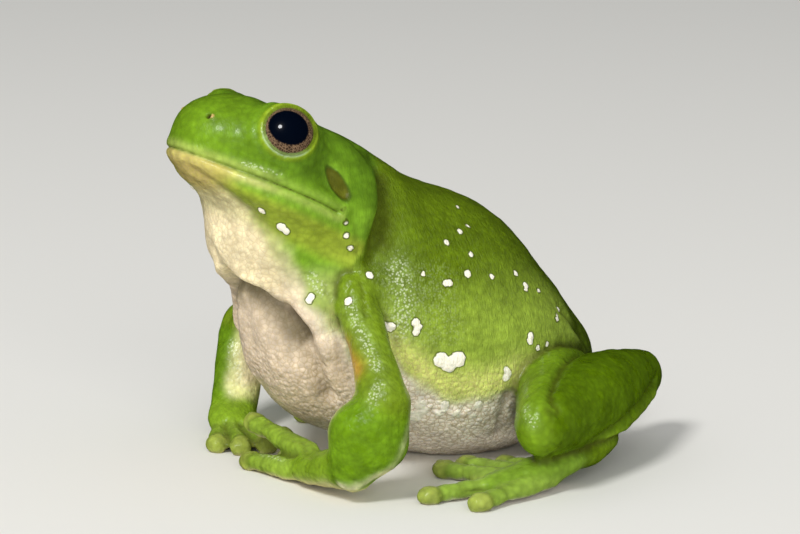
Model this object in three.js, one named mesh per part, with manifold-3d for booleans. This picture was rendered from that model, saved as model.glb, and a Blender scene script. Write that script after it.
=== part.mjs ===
// A life-size green tree frog, Ranoidea caerulea, as a still museum model: a large, well-fed
// adult that sits with its head up, its hands turned in under the chest and its hind legs folded.
//
// Millimetres. +Z is up, the frog faces -Y and its left side is +X. The floor is z = 0, and the
// belly, the hands and the feet rest on it on small flats.
//
// The head and the trunk are one smooth skin, wrapped on a blend of ellipsoids and rounded
// ridges and parted with thin cuts. Limbs and digits are lofts along curved bones, and each is
// cut clear of the pieces that it grows from.
import * as THREE from "three";
import { LoftGeometry } from "three/addons/geometries/LoftGeometry.js";
import { mergeVertices } from "three/addons/utils/BufferGeometryUtils.js";
import Module from "manifold-3d";

const wasm = await Module();
wasm.setup();

const vec = (x, y, z) => new THREE.Vector3(x, y, z);
const radians = THREE.MathUtils.degToRad;

// ---------------------------------------------------------------- driving dimensions

const GAP = 0.3; // clearance between neighbouring pieces

const HEAD_PITCH = 27; // degrees that the snout is raised
const HEAD_ROLL = 0.8; // degrees that the head leans to its right
const HEAD_YAW = 6; // degrees that the head is turned to its right
const JAW_HINGE = vec(0.1, -19.5, 48.3); // midway between the corners of the mouth

const EYE_RADIUS = 5;
const EYE_SHOWN_RADIUS = 4.5; // the round opening between the lids
const BROW_RADIUS = 5.9;
const LID_RADIUS = 0.7; // half thickness of the lids' rim
const NOSTRIL_RADIUS = 0.6;
const EARDRUM_RADII = [1.5, 1.9, 3.7]; // depth, half width, half height

const FINGER = { thickness: 1.95, disc: 2.4 }; // half widths of the bone and of the tip's disc
const TOE = { thickness: 1.75, disc: 2.3 };
const WEB_THICKNESS = 0.9;
const WEB_LIFT = 0.5; // height of the web's lower face
const WEB_REACH = 0.66; // share of each toe that the web runs along
const WEB_HOLLOW = 0.4; // the same share where its free edge is drawn in

const LEFT = 1;
const RIGHT = -1;
const SIDES = { left: LEFT, right: RIGHT };

// Joints of each limb, and the root and tip of each digit, counted from the inner side.
const ARM = {
  [LEFT]: {
    shoulder: [13.4, -15.4, 36],
    elbow: [30.8, -20, 17],
    wrist: [27, -24.2, 6],
    knuckles: [13.5, -23.8, 3],
    forearmSize: [7.1, 5.6],
    digits: [
      [[15, -19.4, 2.4], [6, -13.8, 1.35]],
      [[12.5, -20.2, 2.8], [-2.5, -16.4, 1.35]],
      [[12, -22.6, 4.8], [-7.5, -22.2, 6.9]],
      [[12.5, -25.2, 2.4], [-2.4, -26.4, 1.4]],
    ],
  },
  [RIGHT]: {
    shoulder: [-13.4, -12, 36],
    elbow: [-31.5, -9, 18.5],
    wrist: [-27, -14, 5],
    knuckles: [-21.6, -18.2, 3],
    forearmSize: [4.9, 4.3],
    digits: [
      [[-21.5, -15.4, 2.2], [-13.5, -11.6, 1.35]],
      [[-20, -17, 2.4], [-10, -17.6, 1.35]],
      [[-20.2, -18.9, 2.4], [-11.3, -22.4, 1.35]],
      [[-21.6, -20, 2.2], [-15.6, -24.8, 1.35]],
    ],
  },
};

const LEG = {
  [LEFT]: {
    hip: [13, 28, 14],
    knee: [42, 5, 12.3],
    heel: [22.6, 42, 12.6],
    ankle: [37.6, 19.8, 5.6],
    instep: [40, 8, 4.1],
    toeBase: [38.8, -3, 2.2],
    digits: [
      [[36, 11, 2.2], [25, 9.5, 1.35]],
      [[37, 7, 2.2], [21.5, 3.5, 1.35]],
      [[37, 2, 2.1], [22, -1.8, 1.35]],
      [[38.6, 1, 2], [35.4, -14.6, 1.35]],
      [[42, 7.6, 2.7], [44.3, -10.4, 1.35]],
    ],
  },
  [RIGHT]: {
    hip: [-13, 28, 14],
    knee: [-42, 5, 12.3],
    heel: [-22.6, 42, 12.6],
    ankle: [-38.4, 28, 5],
    instep: [-38.6, 21.6, 3.4],
    toeBase: [-34.4, 15.6, 2.2],
    digits: [
      [[-35.5, 24, 2.2], [-24, 27, 1.35]],
      [[-34, 21, 2.2], [-19, 19.5, 1.35]],
      [[-33, 18, 2.1], [-17.6, 9.5, 1.35]],
      [[-34, 16.6, 2], [-25.6, 0.4, 1.35]],
      [[-38.8, 21, 2.2], [-38, 8.6, 1.35]],
    ],
  },
};

// ---------------------------------------------------------------- materials

const skin = (name, color, roughness) =>
  new THREE.MeshStandardMaterial({ name, color, roughness, metalness: 0 });
const leafGreen = skin("leaf green skin", 0x5f7a10, 0.42);
const brightGreen = skin("bright green skin", 0x6f9a1c, 0.35);
const paleThroat = skin("pale throat skin", 0xe3d3a6, 0.55);
const padGreen = skin("yellowish digits", 0xa1a64a, 0.4);
const eyeBlack = skin("dark eye", 0x0c1018, 0.05);
const drumOlive = skin("olive eardrum", 0x585c1c, 0.5);

// ---------------------------------------------------------------- forms of the body

// Each form tells about how far a point is from its surface, negative inside.
function ellipsoid(centre, radii, turn = new THREE.Quaternion()) {
  const unturn = turn.clone().invert();
  const local = vec();
  return (point) => {
    local.copy(point).sub(centre).applyQuaternion(unturn);
    const scaled = Math.hypot(local.x / radii[0], local.y / radii[1], local.z / radii[2]);
    const slope = Math.hypot(
      local.x / radii[0] ** 2,
      local.y / radii[1] ** 2,
      local.z / radii[2] ** 2,
    );
    return slope === 0 ? -Math.min(...radii) : (scaled * (scaled - 1)) / slope;
  };
}

function cone(start, end, startRadius, endRadius) {
  const run = end.clone().sub(start);
  const lengthSquared = run.lengthSq();
  const offset = vec();
  return (point) => {
    offset.copy(point).sub(start);
    const share = THREE.MathUtils.clamp(offset.dot(run) / lengthSquared, 0, 1);
    offset.addScaledVector(run, -share);
    return offset.length() - THREE.MathUtils.lerp(startRadius, endRadius, share);
  };
}

// A rounded ridge through a list of [point, radius].
function ridge(stations) {
  const cones = stations
    .slice(1)
    .map(([end, radius], i) => cone(stations[i][0], end, stations[i][1], radius));
  return (point) => Math.min(...cones.map((form) => form(point)));
}

// The smaller of two distances, with a fillet of the given width where they are alike.
function smoothMinimum(a, b, width) {
  const share = Math.max(width - Math.abs(a - b), 0) / width;
  return Math.min(a, b) - (share * share * width) / 4;
}

// Forms are joined in order, each with its own fillet: [width, form].
const FAR = 1000;
const blend = (forms) => (point) =>
  forms.reduce((distance, [width, form]) => smoothMinimum(distance, form(point), width), FAR);

const bothSides = (width, make) => [LEFT, RIGHT].map((side) => [width, make(side)]);

const raised = (degrees) =>
  new THREE.Quaternion().setFromEuler(new THREE.Euler(radians(-degrees), 0, 0));

// The head has axes of its own: x to the left, u forward from the jaw's hinge and w up from
// the mouth. These turn such a point or direction into the part's own frame.
const headTurn = new THREE.Quaternion().setFromEuler(
  new THREE.Euler(radians(-HEAD_PITCH), radians(-HEAD_ROLL), radians(-HEAD_YAW), "ZXY"),
);
const headDirection = (x, u, w) => vec(x, -u, w).applyQuaternion(headTurn);
const headPoint = (x, u, w) => headDirection(x, u, w).add(JAW_HINGE);

const eyeCentre = (side) => headPoint(side * 12, 11.6, 8.7);
const eyeAxis = (side) => headDirection(side * 0.86, 0.42, 0.28).normalize();
const brow = (side) => ellipsoid(eyeCentre(side), [BROW_RADIUS, BROW_RADIUS, BROW_RADIUS]);

// The fold of glandular skin that runs from behind the eye, over the eardrum, to the shoulder.
const glandularFold = (side) =>
  ridge([
    [vec(side * 8.5, -21, 59.5), 2],
    [vec(side * 11.3, -17, 58), 2.5],
    [vec(side * 13, -14.6, 54), 2.7],
    [vec(side * 14, -14.4, 49), 2.7],
    [vec(side * 13.8, -16.6, 43.4), 2.2],
  ]);

const bodyField = blend([
  [6, ellipsoid(vec(0, 11, 19.8), [26.5, 28.6, 21.3], raised(20))], // abdomen
  [10, ellipsoid(vec(0, 2, 34.6), [18, 23, 14.5], raised(38))], // upper back
  [7, ellipsoid(vec(0, 13, 32.8), [17, 13, 11.6], raised(42))], // loins
  [8, ellipsoid(vec(0, -9.8, 31), [19, 17.7, 18], raised(30))], // chest
  [6, ellipsoid(vec(0, -7, 21), [18, 16.5, 15.5])], // lower chest
  [8, ellipsoid(vec(0, 35, 13), [12, 9.5, 9])], // rump
  [6, ellipsoid(vec(0, -13, 48), [15, 12, 11], raised(30))], // neck
  [4, ellipsoid(headPoint(0, 6, 5.2), [14.5, 15.5, 8.6], headTurn)], // skull
  [4, ellipsoid(headPoint(0, 16.1, 4.3), [9.5, 8.9, 7.2], headTurn)], // snout
  [2, ellipsoid(headPoint(0, 2.4, 1.4), [17.4, 19, 3.6], headTurn)], // upper lip
  [2, ellipsoid(headPoint(0, 14.8, 1.2), [8.8, 9.6, 3.4], headTurn)], // tip of the upper lip
  [2, ellipsoid(headPoint(0, 2.4, -2.2), [17.2, 18.4, 3.6], headTurn)], // lower lip
  [2, ellipsoid(headPoint(0, 14.4, -0.8), [8.2, 9.4, 2.4], headTurn)], // tip of the lower lip
  ...bothSides(3, brow),
  [5, ellipsoid(vec(0, -23.4, 43.2), [13, 10.4, 11.4])], // throat
  ...bothSides(4, glandularFold),
]);

// How far out along a line the skin lies, found from outside in steps shorter than the distance.
const REACH = 90;
const MOST_STEPS = 90;
const STEP_SHARE = 0.7;
const TOLERANCE = 1e-3;
function skinDistance(from, direction, grow = 0) {
  const point = vec();
  let distance = REACH;
  for (let step = 0; step < MOST_STEPS; step++) {
    const above = bodyField(point.copy(from).addScaledVector(direction, distance)) - grow;
    distance -= above * STEP_SHARE;
    if (Math.abs(above) < TOLERANCE) break;
  }
  return distance;
}

function skinPoint(from, towards) {
  const direction = towards.clone().sub(from).normalize();
  return from.clone().addScaledVector(direction, skinDistance(from, direction));
}

// ---------------------------------------------------------------- making solids

// A closed three.js geometry as a solid that can be joined and cut.
const WELD = 1e-4;
function solidOf(geometry) {
  const bare = new THREE.BufferGeometry();
  bare.setAttribute("position", geometry.getAttribute("position"));
  bare.setIndex(geometry.index);
  const merged = mergeVertices(bare, WELD);
  return new wasm.Manifold(
    new wasm.Mesh({
      numProp: 3,
      vertProperties: merged.getAttribute("position").array,
      triVerts: new Uint32Array(merged.index.array),
    }),
  );
}

function geometryOf(solid) {
  const mesh = solid.getMesh();
  const geometry = new THREE.BufferGeometry();
  geometry.setAttribute("position", new THREE.BufferAttribute(mesh.vertProperties, mesh.numProp));
  geometry.setIndex(new THREE.BufferAttribute(mesh.triVerts, 1));
  return geometry;
}

// The largest closed surface of a solid, without any loose scrap.
function largest(solid) {
  const bodies = solid.decompose();
  return bodies.reduce((best, body) => (body.volume() > best.volume() ? body : best));
}

const facing = (direction) =>
  new THREE.Quaternion().setFromUnitVectors(vec(0, 0, 1), direction.clone().normalize());

const along = (point, direction, distance) =>
  point.clone().addScaledVector(direction.clone().normalize(), distance);

const between = (a, b, share) => a.map((value, i) => value + (b[i] - value) * share);

const ball = (centre, radius, sides) =>
  solidOf(new THREE.SphereGeometry(radius, sides, sides / 2).translate(...centre));

// All that lies past a plane, on the side that the normal points to.
const SPACE = 300;
const halfSpace = (point, normal) =>
  solidOf(
    new THREE.BoxGeometry(SPACE, SPACE, SPACE)
      .translate(0, 0, SPACE / 2)
      .applyQuaternion(facing(normal))
      .translate(...point),
  );

// A ball drawn onto the skin. Each vertex looks out from its own place on a core line.
function wrapped([coreStart, coreEnd], detail, grow = 0) {
  const geometry = new THREE.IcosahedronGeometry(1, detail);
  const position = geometry.getAttribute("position");
  const middle = coreStart.clone().add(coreEnd).multiplyScalar(0.5);
  const axis = coreEnd.clone().sub(coreStart).normalize();
  const halfLength = coreStart.distanceTo(coreEnd) / 2;
  const direction = vec();
  const from = vec();
  for (let i = 0; i < position.count; i++) {
    direction.fromBufferAttribute(position, i).normalize();
    from.copy(middle).addScaledVector(axis, direction.dot(axis) * halfLength);
    const distance = skinDistance(from, direction, grow);
    position.setXYZ(i, ...from.addScaledVector(direction, distance));
  }
  return solidOf(geometry);
}

// A limb or digit: elliptical sections along a smooth curve, with rounded ends. Each station is
// [point, half width, half thickness], places are the shares of its length that get a section,
// and flat is the direction in which it is thin.
const evenly = (count) => Array.from({ length: count + 1 }, (_, i) => i / count);
const CAP_TURNS = [0.25, 0.65].map((share) => (share * Math.PI) / 2);
function limb(stations, { sides, places, flat = [0, 0, 1], grow = 0 }) {
  const points = stations.map(([point]) => vec(...point));
  const sizes = stations.map(([, width, thickness]) => vec(width + grow, thickness + grow, 0));
  const curve = new THREE.CatmullRomCurve3(points, false, "centripetal");
  const sizeCurve = new THREE.CatmullRomCurve3(sizes);
  const thin = vec(...flat).normalize();

  function section(share, overhang, scale) {
    const tangent = curve.getTangentAt(share);
    const centre = curve.getPointAt(share).addScaledVector(tangent, overhang);
    const size = sizeCurve.getPoint(curve.getUtoTmapping(share)).multiplyScalar(scale);
    const across = vec().crossVectors(thin, tangent).normalize();
    const upward = vec().crossVectors(tangent, across);
    return Array.from({ length: sides }, (_, i) => {
      const angle = (i / sides) * 2 * Math.PI;
      return centre
        .clone()
        .addScaledVector(across, Math.cos(angle) * size.x)
        .addScaledVector(upward, Math.sin(angle) * size.y);
    });
  }

  const startCap = CAP_TURNS.map((turn) =>
    section(0, -sizes[0].y * Math.cos(turn), Math.sin(turn)),
  );
  const endCap = CAP_TURNS.map((turn) =>
    section(1, sizes.at(-1).y * Math.cos(turn), Math.sin(turn)),
  );
  const middle = places.map((share) => section(share, 0, 1));
  const sections = [...startCap, ...middle, ...endCap.reverse()];
  return solidOf(new LoftGeometry(sections, { capStart: true, capEnd: true }));
}

// ---------------------------------------------------------------- trunk and head

const TRUNK_CORE = [vec(0, -6, 36), vec(0, 28, 19)];
const HEAD_CORE = [headPoint(0, 3, 2), headPoint(0, 12, 3)];
const TRUNK_DETAIL = 9;
const HEAD_DETAIL = 10;
const NECK = { point: vec(0, -9.5, 50), towardsHead: vec(0, -0.8, 0.5) };
const towardsTrunk = NECK.towardsHead.clone().negate();

const trunk = wrapped(TRUNK_CORE, TRUNK_DETAIL).intersect(
  halfSpace(along(NECK.point, towardsTrunk, GAP / 2), towardsTrunk),
);
const trunkGrown = wrapped(TRUNK_CORE, TRUNK_DETAIL, GAP);

const EYE_SIDES = 18;
const LID_SIDES = 22;
const socketRadius = EYE_RADIUS + GAP;
const lidPlane = Math.sqrt(socketRadius ** 2 - EYE_SHOWN_RADIUS ** 2); // out from the centre

// A round rim of skin, the upper and lower lid in one, sunk in the brow.
function lids(side) {
  const axis = eyeAxis(side);
  const rimRadius = EYE_SHOWN_RADIUS + LID_RADIUS * 0.8;
  return solidOf(
    new THREE.TorusGeometry(rimRadius, LID_RADIUS, 6, LID_SIDES)
      .applyQuaternion(facing(axis))
      .translate(...along(eyeCentre(side), axis, lidPlane - GAP)),
  );
}

// The hollow that holds the eyeball, with its flared opening between the lids.
function socket(side) {
  const axis = eyeAxis(side);
  const depth = 8;
  const opening = solidOf(
    new THREE.CylinderGeometry(EYE_SHOWN_RADIUS + depth / 2, EYE_SHOWN_RADIUS, depth, LID_SIDES)
      .rotateX(Math.PI / 2)
      .applyQuaternion(facing(axis))
      .translate(...along(eyeCentre(side), axis, lidPlane + depth / 2)),
  );
  return ball(eyeCentre(side), socketRadius, EYE_SIDES).add(opening);
}

// An oval disc let into the side of the head, below the glandular fold.
function eardrum(side, grow = 0) {
  const seat = skinPoint(headPoint(0, 0, 4), headPoint(side * 16, -0.1, 5));
  const sunk = 0.45;
  const turn = new THREE.Euler(radians(21), 0, radians(-side * 12));
  return solidOf(
    new THREE.SphereGeometry(1, 14, 8)
      .scale(...EARDRUM_RADII.map((radius) => radius + grow))
      .applyQuaternion(new THREE.Quaternion().setFromEuler(turn))
      .translate(seat.x - side * sunk, seat.y, seat.z),
  );
}

const nostril = (side) =>
  ball(skinPoint(headPoint(0, 14, 2), headPoint(side * 5.2, 23.2, 6.7)), NOSTRIL_RADIUS, 8);

let wholeHead = wrapped(HEAD_CORE, HEAD_DETAIL).intersect(
  halfSpace(along(NECK.point, NECK.towardsHead, GAP / 2), NECK.towardsHead),
);
for (const side of [LEFT, RIGHT]) {
  wholeHead = wholeHead
    .add(lids(side))
    .subtract(socket(side))
    .subtract(eardrum(side, GAP))
    .subtract(nostril(side));
}

// What lies below the line of the mouth and ahead of its corners, drawn in by an offset.
const MOUTH_CORNER = headPoint(0, -0.8, 0);
function belowMouth(offset) {
  const down = headDirection(0, 0, -1);
  const ahead = headDirection(0, 1, 0);
  return halfSpace(along(JAW_HINGE, down, offset), down).intersect(
    halfSpace(along(MOUTH_CORNER, ahead, offset), ahead),
  );
}
const lowerJaw = wholeHead.intersect(belowMouth(GAP / 2));
const head = wholeHead.subtract(belowMouth(-GAP / 2));

// ---------------------------------------------------------------- limbs

const LIMB_SIDES = 14;
const WRIST_SIDES = 12;
const DIGIT_SIDES = 8;

const armFlat = (side) => [side * 0.82, -0.57, 0];

function upperArm(side, grow) {
  const { shoulder, elbow } = ARM[side];
  const stations = [
    [shoulder, 4, 4],
    [between(shoulder, elbow, 0.55), 3.5, 3.5],
    [elbow, 4.5, 4.4],
  ];
  return limb(stations, { sides: WRIST_SIDES, places: evenly(6), flat: armFlat(side), grow });
}

function forearm(side, grow) {
  const { elbow, wrist, forearmSize } = ARM[side];
  const stations = [
    [between(elbow, wrist, 0.06), 4.9, 4.6],
    [between(elbow, wrist, 0.5), ...forearmSize],
    [wrist, 4.4, 4.2],
  ];
  return limb(stations, { sides: LIMB_SIDES, places: evenly(6), flat: armFlat(side), grow });
}

function hand(side, grow) {
  const { wrist, knuckles } = ARM[side];
  const stations = [
    [wrist, 4.2, 3.9],
    [between(wrist, knuckles, 0.55), 4.5, 3.1],
    [knuckles, 4, 2.6],
  ];
  return limb(stations, { sides: WRIST_SIDES, places: evenly(5), grow });
}

function thigh(side, grow) {
  const { hip, knee } = LEG[side];
  const [x, y, z] = between(hip, knee, 0.5);
  const stations = [
    [hip, 7.6, 7],
    [[x + side * 0.9, y + 1.2, z], 6.4, 7.6],
    [knee, 4.6, 5.5],
  ];
  return limb(stations, { sides: LIMB_SIDES, places: evenly(7), grow });
}

function shank(side, grow) {
  const { knee, heel } = LEG[side];
  const stations = [
    [knee, 5.4, 5.6],
    [between(knee, heel, 0.45), 7.8, 8],
    [between(knee, heel, 0.78), 6.2, 6.8],
    [heel, 4.2, 4.8],
  ];
  return limb(stations, { sides: LIMB_SIDES, places: evenly(8), grow });
}

function tarsus(side, grow) {
  const { heel, ankle, instep } = LEG[side];
  const stations = [
    [heel, 3.4, 3.6],
    [between(heel, ankle, 0.5), 2.9, 3],
    [ankle, 2.9, 2.8],
    [between(ankle, instep, 0.5), 3.4, 2.6],
  ];
  return limb(stations, { sides: WRIST_SIDES, places: evenly(7), grow });
}

function foot(side, grow) {
  const { ankle, instep, toeBase } = LEG[side];
  const stations = [
    [between(ankle, instep, 0.4), 3.4, 2.7],
    [instep, 4, 2.3],
    [toeBase, 3.2, 1.9],
  ];
  return limb(stations, { sides: WRIST_SIDES, places: evenly(6), grow });
}

// The pieces of each side in the order in which they are placed.
const LIMB_PIECES = {
  upper_arm: [upperArm, brightGreen],
  forearm: [forearm, brightGreen],
  hand: [hand, brightGreen],
  thigh: [thigh, leafGreen],
  shank: [shank, leafGreen],
  tarsus: [tarsus, leafGreen],
  foot: [foot, brightGreen],
};

// A digit narrows behind the round disc at its tip.
const DIGIT_PLACES = [0, 0.4, 0.74, 0.84, 0.93, 1];
function digit([root, tip], { thickness, disc }, grow) {
  const stations = [
    [root, thickness, thickness],
    [between(root, tip, 0.5), thickness, thickness * 0.92],
    [between(root, tip, 0.77), thickness * 0.82, thickness * 0.76],
    [between(root, tip, 0.92), disc, disc * 0.7],
    [tip, disc * 0.85, disc * 0.64],
  ];
  return limb(stations, { sides: DIGIT_SIDES, places: DIGIT_PLACES, grow });
}

// The thin skin between two neighbouring toes, with a hollow free edge.
function web([rootA, tipA], [rootB, tipB], grow = 0) {
  const endA = between(rootA, tipA, WEB_REACH);
  const endB = between(rootB, tipB, WEB_REACH);
  const hollow = between(between(rootA, tipA, WEB_HOLLOW), between(rootB, tipB, WEB_HOLLOW), 0.5);
  const outline = new THREE.Shape();
  outline.moveTo(rootA[0], rootA[1]);
  outline.lineTo(endA[0], endA[1]);
  outline.quadraticCurveTo(hollow[0], hollow[1], endB[0], endB[1]);
  outline.lineTo(rootB[0], rootB[1]);
  return solidOf(
    new THREE.ExtrudeGeometry(outline, {
      depth: WEB_THICKNESS + 2 * grow,
      bevelEnabled: false,
      curveSegments: 5,
    }).translate(0, 0, WEB_LIFT - grow),
  );
}

// ---------------------------------------------------------------- the frog

const frog = new THREE.Group();
frog.name = "green_tree_frog";

const aboveFloor = halfSpace(vec(0, 0, 0), vec(0, 0, 1));

function addNode(name, solid, material) {
  const mesh = new THREE.Mesh(geometryOf(largest(solid.intersect(aboveFloor))), material);
  mesh.name = name;
  frog.add(mesh);
}

addNode("head", head, leafGreen);
addNode("lower_jaw", lowerJaw, paleThroat);
addNode("trunk", trunk, leafGreen);

for (const [name, side] of Object.entries(SIDES)) {
  addNode(`eye_${name}`, ball(eyeCentre(side), EYE_RADIUS, EYE_SIDES), eyeBlack);
  addNode(`eardrum_${name}`, eardrum(side), drumOlive);

  // Each piece is cut clear of all that were placed before it.
  const placed = [trunkGrown];
  const place = (node, material, make) => {
    const clear = placed.reduce((rest, other) => rest.subtract(other), make());
    addNode(node, clear, material);
    placed.push(make(GAP));
  };
  for (const [piece, [make, material]] of Object.entries(LIMB_PIECES)) {
    place(`${piece}_${name}`, material, (grow) => make(side, grow));
  }
  const fingers = ARM[side].digits;
  const toes = LEG[side].digits;
  fingers.forEach((bone, i) =>
    place(`finger_${name}_${i + 1}`, padGreen, (grow) => digit(bone, FINGER, grow)),
  );
  toes.forEach((bone, i) =>
    place(`toe_${name}_${i + 1}`, padGreen, (grow) => digit(bone, TOE, grow)),
  );
  toes.slice(1).forEach((bone, i) =>
    place(`web_${name}_${i + 1}`, padGreen, (grow) => web(toes[i], bone, grow)),
  );
}

// The origin is on the floor, under the middle of the frog's bounding box.
const middle = new THREE.Box3().setFromObject(frog).getCenter(vec());
frog.children.forEach((mesh) => mesh.geometry.translate(-middle.x, -middle.y, 0));

export default frog;
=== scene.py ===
"""Looks of the life-size green tree frog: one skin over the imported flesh, two wet eyes and a pale studio."""

import logging
import math
from dataclasses import dataclass, field
from enum import Enum

import bmesh
import bpy
import numpy as np
from mathutils import Matrix, Vector, noise
from mathutils.bvhtree import BVHTree
from mathutils.kdtree import KDTree


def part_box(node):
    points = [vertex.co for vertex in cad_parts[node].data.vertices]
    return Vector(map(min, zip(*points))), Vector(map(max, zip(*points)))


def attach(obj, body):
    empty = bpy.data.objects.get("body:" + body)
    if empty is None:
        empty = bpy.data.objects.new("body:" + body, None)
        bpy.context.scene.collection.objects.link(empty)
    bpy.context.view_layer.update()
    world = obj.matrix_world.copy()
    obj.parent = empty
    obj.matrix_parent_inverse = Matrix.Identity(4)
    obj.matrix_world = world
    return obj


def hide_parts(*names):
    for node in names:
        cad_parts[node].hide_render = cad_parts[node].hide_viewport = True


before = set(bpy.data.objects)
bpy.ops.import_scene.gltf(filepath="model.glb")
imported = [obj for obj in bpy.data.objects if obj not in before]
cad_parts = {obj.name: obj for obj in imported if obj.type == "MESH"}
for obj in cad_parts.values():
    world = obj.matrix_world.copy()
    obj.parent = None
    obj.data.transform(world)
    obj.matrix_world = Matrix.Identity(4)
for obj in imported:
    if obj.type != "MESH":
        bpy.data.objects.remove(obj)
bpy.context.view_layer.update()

LOG = logging.getLogger("tree_frog")
MM = 0.001
Colour = tuple[float, float, float, float]
Point = tuple[float, float, float]
Layers = list[tuple[np.ndarray, str]]
Socket = bpy.types.NodeSocket


class Side(Enum):
    """The frog's own left is +X."""

    LEFT = 1
    RIGHT = -1

    def on(self, point: Point) -> Point:
        """A point or direction that is given for the left, on this side."""
        return (self.value * point[0], point[1], point[2])


class Region(Enum):
    """Parts of the body, each named as its CAD nodes begin and as its colour in the palette."""

    HEAD = "head"
    JAW = "lower_jaw"
    TRUNK = "trunk"
    EYE = "eye"
    EARDRUM = "eardrum"
    UPPER_ARM = "upper_arm"
    FOREARM = "forearm"
    HAND = "hand"
    THIGH = "thigh"
    SHANK = "shank"
    TARSUS = "tarsus"
    FOOT = "foot"
    FINGER = "finger"
    TOE = "toe"
    WEB = "web"


def linear(hex_colour: str) -> Colour:
    """Turns an sRGB hex colour to linear light.

    Args:
        hex_colour: The colour as "#rrggbb".

    Returns:
        Linear red, green and blue, and an alpha of 1.
    """
    parts = [int(hex_colour[i : i + 2], 16) / 255 for i in (1, 3, 5)]
    light = [c / 12.92 if c <= 0.04045 else ((c + 0.055) / 1.055) ** 2.4 for c in parts]
    return (*light, 1.0)


def add(tree: bpy.types.NodeTree, kind: str, inputs: dict | None = None, **settings) -> bpy.types.Node:
    """Adds a shader node with its settings and links.

    Args:
        tree: The tree that gets the node.
        kind: The node's type without the "ShaderNode" in front.
        inputs: Input name or number to a value, or to the socket that feeds it.
        **settings: Properties of the node itself.

    Returns:
        The new node.
    """
    node = tree.nodes.new("ShaderNode" + kind)
    for name, value in settings.items():
        setattr(node, name, value)
    for name, value in (inputs or {}).items():
        if isinstance(value, Socket):
            tree.links.new(value, node.inputs[name])
        else:
            node.inputs[name].default_value = value
    return node


def blank_material(name: str) -> tuple[bpy.types.Material, bpy.types.NodeTree]:
    """A new material and its empty tree."""
    material = bpy.data.materials.new(name)
    material.use_nodes = True
    material.node_tree.nodes.clear()
    return material, material.node_tree


def smoothstep(values: np.ndarray, low: float, high: float) -> np.ndarray:
    """Eases from 0 at low to 1 at high, which may be the smaller of the two."""
    t = np.clip((values - low) / (high - low), 0.0, 1.0)
    return t * t * (3.0 - 2.0 * t)


def bell(values: np.ndarray, width: float) -> np.ndarray:
    """Falls off from 1 at a value of 0, to about a third at the width on either side."""
    return np.exp(-((values / width) ** 2))


@dataclass(frozen=True)
class HeadAxes:
    """The head's own axes in mm: x to its left, u towards the snout, w up, from the jaw hinge."""

    hinge: Point = (0.1, -22.126, 48.3)
    turn: float = -6.0
    pitch: float = -27.0
    roll: float = -0.8

    def matrix(self) -> np.ndarray:
        """Rotation from (x, -u, w) to the frame."""
        turn = Matrix.Rotation(math.radians(self.turn), 3, "Z")
        pitch = Matrix.Rotation(math.radians(self.pitch), 3, "X")
        roll = Matrix.Rotation(math.radians(self.roll), 3, "Y")
        return np.array(turn @ pitch @ roll)

    def place(self, points: np.ndarray) -> np.ndarray:
        """Points given as (x, u, w) in the head's axes, in frame mm."""
        local = np.asarray(points, float) * (1.0, -1.0, 1.0)
        return local @ self.matrix().T + self.hinge

    def direct(self, direction: Point) -> np.ndarray:
        """A unit direction given in the head's axes, in the frame."""
        turned = (np.asarray(direction, float) * (1.0, -1.0, 1.0)) @ self.matrix().T
        return turned / np.linalg.norm(turned)

    def read(self, points: np.ndarray) -> np.ndarray:
        """Frame points in mm as (x, u, w) in the head's axes."""
        return ((points - self.hinge) @ self.matrix()) * (1.0, -1.0, 1.0)


HEAD = HeadAxes()


@dataclass(frozen=True)
class EyeSocket:
    """Where an eye sits and how far its lids open, in mm and in the head's axes for the left one."""

    side: Side
    radius: float = 5.0
    opening: float = 4.65
    seat: Point = (12.0, 11.6, 8.7)
    facing: Point = (0.85, 0.38, 0.35)
    looking: Point = (0.84, 0.49, 0.32)

    @property
    def centre(self) -> np.ndarray:
        """The eyeball's centre in the frame."""
        return HEAD.place(self.side.on(self.seat))

    @property
    def axis(self) -> np.ndarray:
        """The way the socket faces."""
        return HEAD.direct(self.side.on(self.facing))

    @property
    def gaze(self) -> np.ndarray:
        """The way the pupil faces."""
        return HEAD.direct(self.side.on(self.looking))

    def rings(self, points: np.ndarray) -> tuple[np.ndarray, np.ndarray]:
        """Distance from the axis and height along it.

        Args:
            points: Frame points in mm.

        Returns:
            The distance from the axis and the height along it, both in mm.
        """
        away = points - self.centre
        height = away @ self.axis
        return np.linalg.norm(away - height[:, None] * self.axis, axis=1), height


@dataclass(frozen=True)
class Stroke:
    """A ridge (depth above 0) or crease (below 0) along a line on the skin, in mm, with a share (dark) of
    painted shade along its middle.
    """

    name: str
    points: tuple[Point, ...]
    width: float
    depth: float
    mirrored: bool = True
    in_head: bool = False
    dark: float = 0.0
    paint: str = ""

    def lines(self) -> list[np.ndarray]:
        """The line in frame mm, and its mirror image where there is one."""
        line = np.array(self.points, float)
        both = [line, line * (-1.0, 1.0, 1.0)] if self.mirrored else [line]
        return [HEAD.place(each) for each in both] if self.in_head else both


@dataclass(frozen=True)
class Wart:
    """A white wart on the flank, back or throat, snapped to the skin, in mm.

    Its lobes follow each other along the body, or up it where the lean is 90 degrees.
    """

    place: Point
    radius: float
    lobes: int = 1
    lean: float = 90.0


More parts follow.
